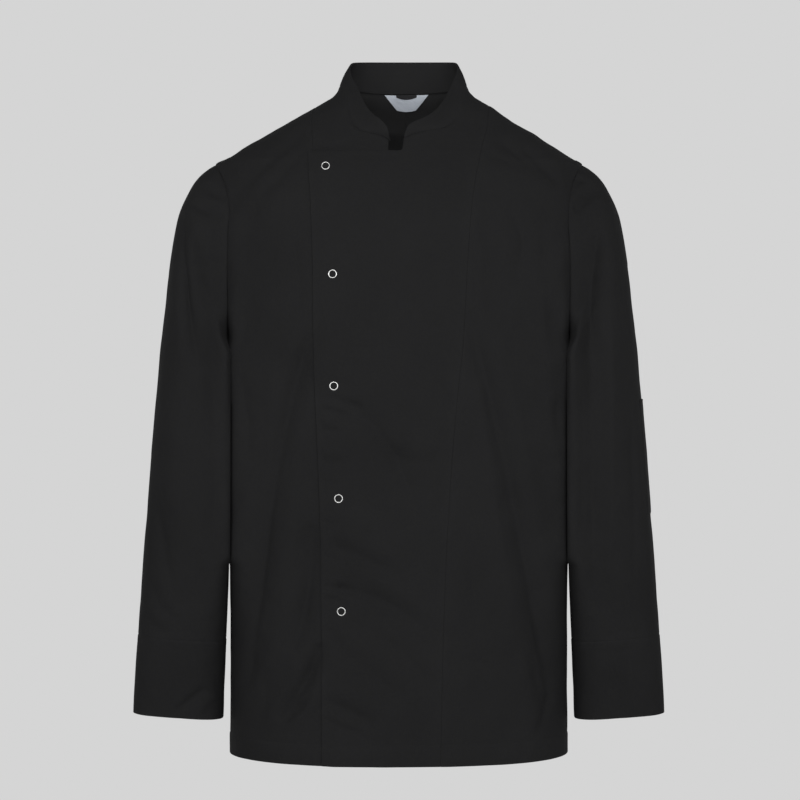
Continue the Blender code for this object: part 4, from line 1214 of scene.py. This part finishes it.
# Round the back, `turn` is the angle from the left side of the neck, in degrees.
COLLAR_BACK = table(
    ("turn", "edge_x", "edge_y", "edge_z"),
    [
        (0.0, 70.6, 6.0, 34.7),
        (22.0, 66.8, 30.0, 41.9),
        (50.0, 47.0, 50.0, 45.2),
        (88.0, 8.0, 57.0, 46.2),
        (130.0, -33.0, 50.0, 45.2),
        (158.0, -54.2, 30.0, 41.7),
        (180.0, -58.4, 6.0, 34.5),
    ],
)


def neck_seam(side, count):
    """The collar seam's x and z from a front end to the side of the neck."""
    collar = COLLAR_LEFT if side > 0 else COLLAR_RIGHT
    rows = np.arange(len(collar) + 1, dtype=float)
    at = np.linspace(0, rows[-1], count)
    side_x = body_point(0 if side > 0 else math.pi, NECK_BACK)[0]
    x = smooth(at, rows, np.append(collar["seam_x"], side_x))
    z = smooth(at, rows, np.append(collar["seam_z"], NECK_BACK))
    return x, z


print("the neck seam starts at", np.round(neck_seam(1, 3), 1)[:, 0])

# %% Centre fronts
LOW_ROWS = len(LOWER) + ROWS_UP[0] + ROWS_UP[1]
NECK_ROWS = ROWS_UP[2]
FAR_OFF = 99.0            # a distance from a seam at which nothing of it is felt


def centre_front(side):
    """The upper front (side 1), sewn on the left, or the lower front (side -1).

    Returns its grid, the cells that are kept, and the number of columns of the wide part.
    """
    low = FRONT_HEIGHTS[:LOW_ROWS]
    neck_x, neck_z = neck_seam(side, NECK_ROWS)
    notch = (NOTCH_LEFT if side > 0 else NOTCH_RIGHT) * np.linspace(0, 1, LOW_ROWS) ** 0.5
    inner_x, inner_z = np.append(notch, neck_x), np.append(low, neck_z)
    seam_x = front_line("seam" if side > 0 else "lower_seam", FRONT_HEIGHTS)
    edge_x = front_line("edge", low) * side

    def line(x, z):
        return np.stack([turn_at_x(x, z, -1), z], axis=-1)

    wide, wide_place, wide_whole = set_out(body_point, line(edge_x, low), line(notch, low),
                                           near=FREE_EDGE, far=MEETING)
    narrow, place, whole = set_out(body_point, line(inner_x, inner_z),
                                   line(seam_x, FRONT_HEIGHTS), near=MEETING)
    columns = wide.shape[1] - 1
    fill = np.repeat(narrow[LOW_ROWS:, :1], columns, axis=1)
    grid = np.concatenate([np.concatenate([wide[:, :-1], fill]), narrow], axis=1)
    turn, height = grid[..., 0], grid[..., 1]
    base = body_point(turn, height)
    outward = body_facing(turn, height)
    lift = front_lift(base[..., 0], height, side)

    rest = np.concatenate([np.full((len(grid), columns), FAR_OFF), whole - place], axis=1)
    along = np.concatenate([wide_place[:, :-1], place[:LOW_ROWS] + wide_whole], axis=1)
    free = np.concatenate([along, np.full((NECK_ROWS, grid.shape[1]), FAR_OFF)])
    collar = np.full(turn.shape, FAR_OFF)
    collar[LOW_ROWS:, columns:] = place[LOW_ROWS:]
    top = np.full(turn.shape, FAR_OFF)
    top[:LOW_ROWS, :columns] = FRONT_TOP - height[:LOW_ROWS, :columns]
    shoulder = lengths_down(base[::-1])[::-1]
    shoulder[:, :columns] = FAR_OFF

    stitched = np.minimum(free, top)
    seams = groove(rest) + groove(collar) + groove(shoulder) + hem_relief(height)
    seams += valley(collar, height) + dimples(base) - 0.1 * bell(stitched, 1.2, EDGE_STITCH)
    if side > 0:
        seams -= EDGE_DROP * (1 - step_up(stitched, 0.0, EDGE_BENDS))
    points = lay_cloth(base, outward, "body", seams + lift)
    nearest = np.minimum(np.minimum(stitched, rest), collar)
    edge = np.clip(bell(nearest, 8.0) + near_hem(height), 0, 1)
    keep = np.ones((turn.shape[0] - 1, turn.shape[1] - 1), bool)
    keep[LOW_ROWS - 1:, :columns] = False
    above = np.concatenate([np.zeros((NECK_ROWS, columns)), place[LOW_ROWS:] + wide_whole[-1]],
                           axis=1)
    uv = cloth_uv(np.concatenate([along, above]), points)
    return (points, outward, uv, edge), keep, columns


for side, name in ((1, "upper_front_left"), (-1, "lower_front_right")):
    grid, keep, neck_column = centre_front(side)
    add_cloth(f"cloth_{name}", name, grid, CLOTH, twill, keep=keep)

# %% [markdown]
# ## The collar
#
# A stand collar is a double band sewn to the neckline. It rises at the back and lies back on
# itself towards the front ends, where it narrows to the notch. Only two lines decide its shape,
# the neck seam and the free edge, so it is ruled between them, with a little belly outwards
# because two layers of twill never bend quite straight.

# %% Collar
COLLAR_SHARES = np.concatenate([
    [0.0, 0.012, 0.03, 0.055, 0.085], np.linspace(0.12, 0.86, 18),
    [0.89, 0.92, 0.95, 0.975, 0.99, 1.0],
])
END_COLUMNS = 64
HALF_BACK = 48
BELLY = 1.7
COLLAR_STITCH = 5.0       # stitching inside the collar's free edge


def on_body(turn, height, out=0.0):
    """Points of the finished body cloth and its outward direction, moved out by `out`."""
    base = body_point(turn, height)
    outward = body_facing(turn, height)
    return lay_cloth(base, outward, "body", out), outward


def collar_end(side):
    """Seam and free edge of one end of the collar, from its front to the side of the neck."""
    collar = COLLAR_LEFT if side > 0 else COLLAR_RIGHT
    x, z = neck_seam(side, END_COLUMNS)
    base, _ = on_body(turn_at_x(x, z, -1), z, front_lift(x, z, side))
    rows = np.arange(len(collar) + 1, dtype=float)
    at = np.linspace(0, rows[-1], END_COLUMNS)
    last = COLLAR_BACK[0 if side > 0 else -1]
    edge = [smooth(at, rows, np.append(collar[name], last[name]))
            for name in ("edge_x", "edge_y", "edge_z")]
    return base, np.stack(edge, axis=-1)


def collar_round():
    """Seam and free edge of the collar round the back, from the left side to the right."""
    middle = float(turn_at_x(centre_back(NECK_BACK), NECK_BACK, 1))
    turn = np.concatenate([np.linspace(0, middle, HALF_BACK),
                           np.linspace(middle, math.pi, HALF_BACK)[1:]])
    edge = [smooth(np.degrees(turn), COLLAR_BACK["turn"], COLLAR_BACK[name])
            for name in ("edge_x", "edge_y", "edge_z")]
    base, _ = on_body(turn, np.full_like(turn, NECK_BACK))
    return base, np.stack(edge, axis=-1)


def soften(line, rounds=3):
    """Averages each point of a line with its neighbours, which keeps its two ends."""
    for _ in range(rounds):
        middle = (line[:-2] + 2 * line[1:-1] + line[2:]) / 4
        line = np.concatenate([line[:1], middle, line[-1:]])
    return line


pairs = zip(collar_end(-1), collar_round(), collar_end(1))
seam_line, edge_line = (np.concatenate([right[:-1], back[::-1], left[-2::-1]])
                        for right, back, left in pairs)
edge_line = soften(edge_line, 8)
t = COLLAR_SHARES[:, None, None]
flat = seam_line * (1 - t) + edge_line * t
tall = np.linalg.norm(edge_line - seam_line, axis=-1)
outward = unit(np.cross(unit(edge_line - seam_line), np.gradient(flat, axis=1)))
away = tall * t[..., 0]
over = tall - away
relief = BELLY * np.sin(math.pi * t[..., 0]) * np.clip(tall / 40.0, 0, 1)
relief += groove(away) + valley(away, seam_line[None, :, 2]) + 0.15 * rumple(flat)
relief -= 0.12 * bell(over, 1.1, COLLAR_STITCH) * (tall > 12)
points = flat + relief[..., None] * outward
place = np.repeat(lengths(edge_line[None])[0][None], len(COLLAR_SHARES), axis=0)
edge = np.clip(bell(away, 6.0) + 0.7 * bell(over, 6.0), 0, 1)
grid = points, outward, np.stack([place, away], axis=-1), edge
add_cloth("cloth_collar", "collar", grid, DOUBLE, twill, rim_width=0.5, tuck=True)

# %% [markdown]
# ## Sleeves and cuffs
#
# A sleeve is a tube whose rows fan out from the armhole: they crowd under the arm and spread
# over the shoulder, as the real cut does to let the arm hang. Its underarm seam is where each
# row starts and ends. The cuff is a second tube in double cloth that goes on from it.

# %% Sleeves
def stations_along(first, last, near, far):
    """Stations at set distances down the sleeve's outer line, close together at its ends."""
    fine = np.linspace(first, last, 400)
    line = sleeve_point(fine, np.full_like(fine, math.pi))
    length = lengths(line[None])[0]
    whole = length[-1]
    count = round((whole - near[-1] - far[-1]) / CELL)
    inner = np.linspace(near[-1], whole - far[-1], count + 1)[1:-1]
    return np.interp(np.concatenate([near, inner, whole - far[::-1]]), length, fine)


def sleeve_tube(side, stations, relief, pucker):
    """The grid of a stretch of a sleeve.

    `relief` and `pucker` take the lengths from its top and from its lower end.
    """
    around = np.stack([stations, 0 * stations], axis=-1)
    grid, place, whole = set_out(sleeve_point, around, around + (0, 2 * math.pi))
    station, turn = grid[..., 0], grid[..., 1]
    base = sleeve_point(station, turn)
    outward = sleeve_facing(station, turn)
    down = lengths_down(base)
    up = down[-1:] - down
    seams = groove(place) + groove(whole - place) + relief(down, up)
    points = lay_cloth(base, outward, "left" if side > 0 else "right", seams)
    points[:, -1] = points[:, 0]
    points = points * (side, 1, 1)
    edge = np.clip(pucker(down, up), 0, 1)
    return points, outward * (side, 1, 1), cloth_uv(place, points), edge


def sleeve_relief(down, up):
    return groove(down) + groove(up)


def cuff_relief(down, up):
    return groove(down) + band(down, 7.5) + 0.15 * step_up(down, 0.4, 1.6)


def sleeve_pucker(down, up):
    return bell(down, 9.0) + bell(up, 7.0)


def cuff_pucker(down, up):
    return bell(down, 8.0) + 0.8 * bell(up, 7.0)


SLEEVE_STATIONS = stations_along(0.0, CUFF_SEAM, BESIDE_SEAM, BESIDE_SEAM)
CUFF_STATIONS = stations_along(CUFF_SEAM, WRIST, BESIDE_SEAM, FREE_EDGE)
for side, word in SIDES:
    grid = sleeve_tube(side, SLEEVE_STATIONS, sleeve_relief, sleeve_pucker)
    add_cloth(f"cloth_sleeve_{word}", f"sleeve_{word}", grid, CLOTH, twill, tuck=True,
              closed=True)
    grid = sleeve_tube(side, CUFF_STATIONS, cuff_relief, cuff_pucker)
    add_cloth(f"cloth_cuff_{word}", f"cuff_{word}", grid, DOUBLE, twill, rim_width=0.5,
              tuck=True, closed=True)

# %% [markdown]
# ## Pen pocket
#
# A small patch pocket sits on the outer side of the left sleeve, where a hand reaches it. Its
# top edge is folded and stitched twice, and the other three edges are sewn to the sleeve. It is
# cut from the sleeve's own surface, so it bends with the arm.

# %% Pocket
POCKET_STATIONS = (9.25, 11.8)
POCKET_TURNS = (144.0, 200.0)
POCKET_OUT = 0.9
POCKET_HEM = 14.0         # depth of the fold along its top edge
THIN = 0.8                # thickness of what is one layer

station = np.linspace(*POCKET_STATIONS, 46)
turn = np.radians(np.linspace(*POCKET_TURNS, 34))
station, turn = np.meshgrid(station, turn, indexing="ij")
base = sleeve_point(station, turn)
outward = sleeve_facing(station, turn)
place = lengths(base)
down = lengths_down(base)
beside = np.minimum(place, place[:, -1:] - place)
sewn = np.minimum(beside, down[-1:] - down)
folded = 1 - step_up(down, POCKET_HEM - 1, POCKET_HEM + 1)
relief = POCKET_OUT - 0.6 * bell(sewn, 1.6) + 0.2 * folded
relief += 0.4 * bell(down, 2.0) - 0.2 * bell(down, 1.1, POCKET_HEM)
points = lay_cloth(base, outward, "left", relief)
edge = np.clip(bell(sewn, 6.0) + bell(down, 12.0), 0, 1)
grid = points, outward, cloth_uv(place, points), edge
add_cloth("cloth_sleeve_pocket", "sleeve_pocket", grid, THIN, twill)

# %% [markdown]
# ## Label and hanging loop
#
# Inside the back of the neck hang a woven label, left blank, and a short loop of black tape.
# The label is satin: long floats of pale thread with a fine crosswise rib, and its top edge is
# turned under. Both follow the inner face of the back, a millimetre clear of it.

# %% Label
LABEL_TOP = 8.0
LABEL_DROP = 16.4
LABEL_MIDDLE = 9.2
LABEL_HALF_TOP = 27.0
LABEL_HALF_BOTTOM = 11.5
LABEL_GAP = 0.9
SATIN_RIB = 0.0004        # metres


def satin_finish():
    finish = Finish("label_satin", (0.55, 0.6, 0.68), Roughness=0.55, Sheen_Weight=0.1)
    cloth = finish.on_cloth()
    ribs = finish.ribs(finish.part(cloth, "Y"), SATIN_RIB)
    floats = finish.noise(finish.node("ShaderNodeMapping", {}, {
        "Vector": cloth, "Scale": (2600, 240, 1)}), 1.0, 1.0)
    ripple = finish.noise(cloth, 160.0, 1.0)
    slow = finish.bump(ripple + finish.stitched() * 0.4, 0.0005)
    finish.feed("Normal", finish.bump(ribs * 0.6 + floats * 0.4, 0.00005, slow))
    streaks = finish.maths("SINE", finish.part(cloth, "X") * 300.0)
    shade = floats * 0.5 + streaks * 0.06 + 0.2
    finish.feed("Base Color", finish.between(shade, (0.50, 0.55, 0.63), (0.74, 0.78, 0.84)))
    return finish.material


satin = satin_finish()
down, across = np.meshgrid(np.linspace(0, 1, 30), np.linspace(-1, 1, 54), indexing="ij")
half = LABEL_HALF_TOP + (LABEL_HALF_BOTTOM - LABEL_HALF_TOP) * down
x = LABEL_MIDDLE + half * across
z = LABEL_TOP - LABEL_DROP * down * (1 + 0.09 * (1 - across**2))
turn = turn_at_x(x, z, 1)
curl = 0.5 * down**2 + 0.25 * np.sin(3.1 * across + 1.0) * down
base, outward = on_body(turn, z, -(CLOTH + LABEL_GAP) - curl)
uv = np.stack([half * (across + 1), (1 - down) * LABEL_DROP], axis=-1)
grid = base, -outward, uv, bell(down * LABEL_DROP, 3.0)
add_cloth("cloth_label", "label", grid, THIN, satin, 0.25)

# %% Hanging loop
LOOP_HALF = 12.5
LOOP_SAG = 2.4
LOOP_WIDTH = 2.4
LOOP_DEPTH = CLOTH + LABEL_GAP + 1.0
TAPE_RIB = 0.0006         # metres


def tape_finish():
    finish = Finish("black_tape", (0.008, 0.008, 0.009), Roughness=0.7, Sheen_Weight=0.08)
    cloth = finish.on_cloth()
    chevron = finish.maths("PINGPONG", finish.part(cloth, "Y"), TAPE_RIB)
    rib = finish.ribs(finish.part(cloth, "X") + chevron, TAPE_RIB)
    finish.feed("Normal", finish.bump(rib, 0.00012))
    finish.feed("Base Color", finish.between(rib, (0.007, 0.007, 0.008), (0.018, 0.018, 0.02)))
    return finish.material


tape = tape_finish()
up, across = np.meshgrid(np.linspace(0, 1, 5), np.linspace(-1, 1, 48), indexing="ij")
x = LABEL_MIDDLE + LOOP_HALF * across
z = LABEL_TOP + 0.4 - (LOOP_WIDTH + LOOP_SAG * (1 - across**2)) * (1 - up)
base, outward = on_body(turn_at_x(x, z, 1), z, np.full_like(z, -LOOP_DEPTH))
uv = np.stack([LOOP_HALF * (across + 1), up * LOOP_WIDTH], axis=-1)
grid = base, -outward, uv, np.zeros_like(z)
add_cloth("tape_hanging_loop", "hanging_loop", grid, 0.9, tape, 0.2)

# %% [markdown]
# ## Press studs
#
# Five open rings of nickel-plated metal close the front. A ring is turned: one profile, with a
# rounded crown and a small inner lip, carried once round an axis that stands on the cloth. The
# black cloth shows in its middle. The sockets between the two fronts are hidden, so their CAD
# solids stay and only take the metal.

# %% Nickel
def nickel_finish():
    finish = Finish("nickel", (0.56, 0.56, 0.55), Metallic=1.0, Roughness=0.22)
    place = finish.in_space()
    scuffs = finish.noise(place, 900.0, 3.0, 0.6)
    cloudy = finish.noise(place, 160.0, 2.0, 0.5)
    finish.feed("Roughness", 0.16 + 0.12 * scuffs + 0.06 * cloudy)
    finish.feed("Base Color", finish.between(cloudy, (0.50, 0.50, 0.49), (0.64, 0.64, 0.63)))
    finish.feed("Normal", finish.bump(scuffs, 0.00002))
    return finish.material


nickel = nickel_finish()
print("metal:", nickel.name)

# %% Rings
RING_PROFILE = np.array([   # radius and height above the cloth, anticlockwise from the lip
    (3.58, -0.4), (3.58, 0.2), (3.62, 0.5), (3.75, 0.76), (4.0, 0.93), (4.32, 1.0),
    (4.63, 0.93), (4.89, 0.76), (5.03, 0.5), (5.08, 0.2), (5.1, 0.0), (5.1, -0.4),
])
RING_STEPS = 72
FRONTAL = 0.4             # a stud sits flatter to the front than the cloth round it


def front_frame(x, z):
    """A place on the upper front and its right, top and outward directions."""
    x, z = np.array([x]), np.array([z])
    turn = turn_at_x(x, z, -1)
    base = body_point(turn, z)
    place, outward = on_body(turn, z, front_lift(x, z, 1) + dimples(base))
    outward = unit(outward + FRONTAL * np.array([0.0, -1.0, 0.0]))
    right = unit(np.cross([0.0, 0.0, 1.0], outward))
    return place[0], right[0], np.cross(outward, right)[0], outward[0]


def solid_mesh(name, points):
    """A closed ring of profiles: every row and every column joins its first point."""
    rows, columns = points.shape[:2]
    row, column = np.meshgrid(np.arange(rows), np.arange(columns), indexing="ij")
    after, beside = (row + 1) % rows, (column + 1) % columns
    faces = np.stack([row * columns + column, row * columns + beside,
                      after * columns + beside, after * columns + column], axis=-1)
    mesh = bpy.data.meshes.new(name)
    mesh.from_pydata((points.reshape(-1, 3) * MM).tolist(), [], faces.reshape(-1, 4).tolist())
    mesh.shade_smooth()
    return mesh


for number, stud in enumerate(STUDS, start=1):
    place, right, top, ahead = front_frame(stud["across"], stud["height"])
    angle = np.linspace(0, 2 * math.pi, RING_STEPS, endpoint=False)[:, None, None]
    spoke = np.cos(angle) * right + np.sin(angle) * top
    radius, rise = RING_PROFILE[:, 0][None, :, None], RING_PROFILE[:, 1][None, :, None]
    mesh = solid_mesh(f"ring_{number}", place + radius * spoke + rise * ahead)
    mesh.materials.append(nickel)
    ring = bpy.data.objects.new(f"ring_{number}", mesh)
    bpy.context.scene.collection.objects.link(ring)
    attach(ring, "root")
    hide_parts(f"stud_{number}_ring")
    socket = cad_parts[f"stud_{number}_socket"]
    for material_slot in socket.material_slots:
        material_slot.material = nickel
    print("ring", number, "at", place.round(1))

# %% [markdown]
# ## Stitches
#
# A line of sewing is many small beads of thread, each sunk a little into the cloth. The lines
# follow columns and rows of the panels, which stand at set distances from the seams for this.
# One bead is a five-sided spindle of fifteen faces. Whole arrays of beads are placed at once:
# the line is measured, a bead is set every three millimetres, and its length follows the line.

# %% Thread
STITCH = 3.0
BEAD_LENGTH = 2.35
BEAD_WIDTH = 0.42
BEAD_SUNK = -0.06
BEAD_RINGS = ((-0.5, 0.0), (-0.32, 0.5), (0.32, 0.5), (0.5, 0.0))   # place and radius
BEAD_SIDES = 5


def thread_finish():
    finish = Finish("black_thread", (0.011, 0.011, 0.012), Roughness=0.85,
                    Specular_IOR_Level=0.15)
    ply = finish.noise(finish.in_space(), 1500.0, 1.0)
    finish.feed("Base Color", finish.between(ply, (0.008, 0.008, 0.0085), (0.018, 0.018, 0.019)))
    finish.feed("Normal", finish.bump(ply, 0.00005))
    return finish.material


def beads_on(line, outward, pitch=STITCH):
    """Bead centres, and their forward and outward directions, evenly along a line."""
    length = lengths(line[None])[0]
    at = np.arange(pitch / 2, length[-1], pitch)
    ends = [np.stack([np.interp(at + step, length, line[:, k]) for k in range(3)], axis=-1)
            for step in (-0.4, 0.4)]
    out = np.stack([np.interp(at, length, outward[:, k]) for k in range(3)], axis=-1)
    ahead = unit(ends[1] - ends[0])
    out = unit(out - (out * ahead).sum(axis=-1, keepdims=True) * ahead)
    return (ends[0] + ends[1]) / 2, ahead, out


def sew(name, runs, finish, width=BEAD_WIDTH):
    """One mesh of beads along several lines. A bead's corners are rings round its line."""
    centre, ahead, out = (np.concatenate(parts) for parts in zip(*(beads_on(*r) for r in runs)))
    aside = np.cross(ahead, out)
    angle = np.linspace(0, 2 * math.pi, BEAD_SIDES, endpoint=False)
    corners = []
    for place, radius in BEAD_RINGS:
        for a in (angle if radius else angle[:1]):
            corners.append(centre + place * BEAD_LENGTH * ahead + BEAD_SUNK * out
                           + radius * width * (math.cos(a) * aside + 0.7 * math.sin(a) * out))
    points = np.stack(corners, axis=1)
    first, second = 1 + np.arange(BEAD_SIDES), 1 + BEAD_SIDES + np.arange(BEAD_SIDES)
    last = 1 + 2 * BEAD_SIDES
    turned = np.roll(first, -1), np.roll(second, -1)
    faces = [(0, b, a) for a, b in zip(first, turned[0])]
    faces += [(a, b, d, c) for a, b, c, d in zip(first, turned[0], second, turned[1])]
    faces += [(c, d, last) for c, d in zip(second, turned[1])]
    mesh = bpy.data.meshes.new(name)
    every = [[int(k) + n * (last + 1) for k in face] for n in range(len(centre)) for face in faces]
    mesh.from_pydata((points.reshape(-1, 3) * MM).tolist(), [], every)
    mesh.shade_smooth()
    mesh.materials.append(finish)
    made = bpy.data.objects.new(name, mesh)
    bpy.context.scene.collection.objects.link(made)
    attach(made, "root")
    print(name, len(centre), "stitches")


thread = thread_finish()
print("one bead every", STITCH, "mm, each", BEAD_LENGTH, "mm long")

# %% Sewing lines
NEAR_ROW, FAR_ROW = 3, 6  # the columns 2 mm and 6.5 mm from a seam
HEM_ROW = 9
SIDE_ROWS = len(LOWER)


def column(name, index, first=0, last=None):
    points, outward = panels[name]
    return points[first:last, index], outward[first:last, index]


def row(name, index, first=0, last=None):
    points, outward = panels[name]
    return points[index, first:last], outward[index, first:last]


back = ["cloth_back_left", "cloth_back_right"]
sides = ["cloth_side_front_left", "cloth_side_front_right"]
fronts = ["cloth_upper_front_left", "cloth_lower_front_right"]
threads = {
    "stitches_hem": [row(name, HEM_ROW) for name in back + sides + fronts],
    "stitches_back": [column("cloth_back_left", k) for k in (NEAR_ROW, FAR_ROW)]
    + [column(name, -1 - NEAR_ROW, 0, SIDE_ROWS) for name in back]
    + [column(name, -1 - FAR_ROW, SIDE_ROWS, -SHOULDER_ROWS) for name in back],
    "stitches_sides": [column(name, k) for name in sides for k in (NEAR_ROW, FAR_ROW)]
    + [column(name, -1 - FAR_ROW, SIDE_ROWS) for name in sides]
    + [row(name, -3) for name in sides],
    "stitches_front": [column("cloth_upper_front_left", 5, 0, LOW_ROWS - 3),
                       row("cloth_upper_front_left", LOW_ROWS - 3, 5, neck_column)],
    "stitches_collar": [row("cloth_collar", 2, 4, -4), row("cloth_collar", -6, 30, -30)],
    "stitches_cuffs": [row(f"cloth_cuff_{word}", k) for word in ("left", "right")
                       for k in (NEAR_ROW, FAR_ROW)],
    "stitches_pocket": [column("cloth_sleeve_pocket", k) for k in (1, -2)]
    + [row("cloth_sleeve_pocket", k) for k in (5, -2)],
}
for name, runs in threads.items():
    sew(name, runs, thread)
sew("stitches_label", [row("cloth_label", 1, 2, -2)], satin, 0.35)

# %% [markdown]
# ## Flat sizes of the cloth
#
# Each panel is a sheet that was cut flat before it was sewn. That flat size is listed here, so
# that someone can cut it again or simulate it, and the area as cut is printed beside the area
# that the panel has here. Widths and lengths are the panel's largest extents, measured along
# the cloth, with the area of its real outline beside them.

# %% Flat sizes
FLAT = {
    "cloth_back_left": (0.275, 0.847, 0.192),
    "cloth_back_right": (0.279, 0.852, 0.196),
    "cloth_side_front_left": (0.230, 0.776, 0.143),
    "cloth_side_front_right": (0.209, 0.774, 0.130),
    "cloth_upper_front_left": (0.155, 0.868, 0.117),
    "cloth_lower_front_right": (0.175, 0.854, 0.130),
    "cloth_collar": (0.481, 0.037, 0.012),
    "cloth_sleeve_left": (0.443, 0.565, 0.190),
    "cloth_sleeve_right": (0.440, 0.565, 0.190),
    "cloth_cuff_left": (0.315, 0.091, 0.0286),
    "cloth_cuff_right": (0.313, 0.091, 0.0284),
    "cloth_sleeve_pocket": (0.072, 0.132, 0.0094),
    "cloth_label": (0.038, 0.0212, 0.0008),
}
for name, (width, length, area) in FLAT.items():
    measured = size_of(panels[name][0])[2]
    print(f"{name}: {area:.4f} m2 as cut, about {measured:.4f} m2 here")

# %% [markdown]
# ## Studio
#
# The light is plain and soft: an even, pale surround that darkens above and below, one wide
# soft box in front at the height of the chest, and a weak one high in front. Black cloth shows
# its folds only by small differences of light: the wide box lights what faces forwards, so the
# slopes of a fold that turn away grow darker. The floor is a pale disc below the jacket, which
# hangs as on an unseen form.

# %% Floor
FLOOR_HEIGHT = -1100.0
FLOOR_RADIUS = 1400.0
FLOOR_RINGS, FLOOR_SPOKES = 12, 96


def floor_finish():
    finish = Finish("pale_floor", (0.6, 0.6, 0.6), Roughness=0.9)
    grain = finish.noise(finish.in_space(), 60.0, 3.0)
    finish.feed("Base Color", finish.between(grain, (0.62, 0.62, 0.62), (0.66, 0.66, 0.66)))
    return finish.material


radius, angle = np.meshgrid(np.linspace(0.0, FLOOR_RADIUS, FLOOR_RINGS)[1:],
                            np.linspace(0, 2 * math.pi, FLOOR_SPOKES + 1), indexing="ij")
disc = np.stack([radius * np.cos(angle), radius * np.sin(angle),
                 np.full_like(radius, FLOOR_HEIGHT)], axis=-1)
rows, columns = radius.shape
cells = cells_of(rows, columns).reshape(-1, 4)
corner = (cells // columns) * FLOOR_SPOKES + (cells % columns) % FLOOR_SPOKES
mesh = bpy.data.meshes.new("studio_floor")
middle = int(corner.max()) + 1
fan = [(middle, (k + 1) % FLOOR_SPOKES, k) for k in range(FLOOR_SPOKES)]
corners = np.concatenate([disc[:, :-1].reshape(-1, 3), [[0.0, 0.0, FLOOR_HEIGHT]]])
mesh.from_pydata((corners * MM).tolist(), [], corner.tolist() + fan)
mesh.materials.append(floor_finish())
floor = bpy.data.objects.new("studio_floor", mesh)
bpy.context.scene.collection.objects.link(floor)
print("floor", FLOOR_RADIUS * 2, "mm across")

# %% Surround and soft boxes
SURROUND = 0.665          # linear grey of the surround, level with the eye
CEILING = 0.08
SOFT_BOXES = table(
    ("name", "x", "y", "z", "wide", "high", "power"),
    [
        ("key", 0.0, -2.1, 0.12, 4.6, 1.2, 43.0),
        ("overhead", 0.0, -1.5, 1.4, 1.4, 0.8, 8.0),
    ],
)
AIM = Vector((0.0, 0.0, -0.30))

world = bpy.data.worlds.new("studio_surround")
world.use_nodes = True
sky = Nodes(world.node_tree)
looking = sky.node("ShaderNodeTexCoord", {}, {}, "Generated")
steep = abs(sky.part(looking, "Z"))
share = sky.node("ShaderNodeMapRange", {"interpolation_type": "SMOOTHSTEP"},
                 {"Value": steep, "From Min": 0.25, "From Max": 0.6})
shade = sky.between(share, (SURROUND,) * 3, (CEILING,) * 3)
world.node_tree.links.new(shade.output, world.node_tree.nodes["Background"].inputs["Color"])
bpy.context.scene.world = world
bpy.context.scene.view_settings.view_transform = "Standard"
for box in SOFT_BOXES:
    light = bpy.data.lights.new(f"soft_box_{box['name']}", "AREA")
    light.shape = "RECTANGLE"
    light.size, light.size_y = float(box["wide"]), float(box["high"])
    light.energy = float(box["power"])
    lamp = bpy.data.objects.new(light.name, light)
    bpy.context.scene.collection.objects.link(lamp)
    lamp.location = (box["x"], box["y"], box["z"])
    lamp.rotation_euler = (AIM - lamp.location).to_track_quat("-Z", "Y").to_euler()
    print(light.name, box["power"], "W")
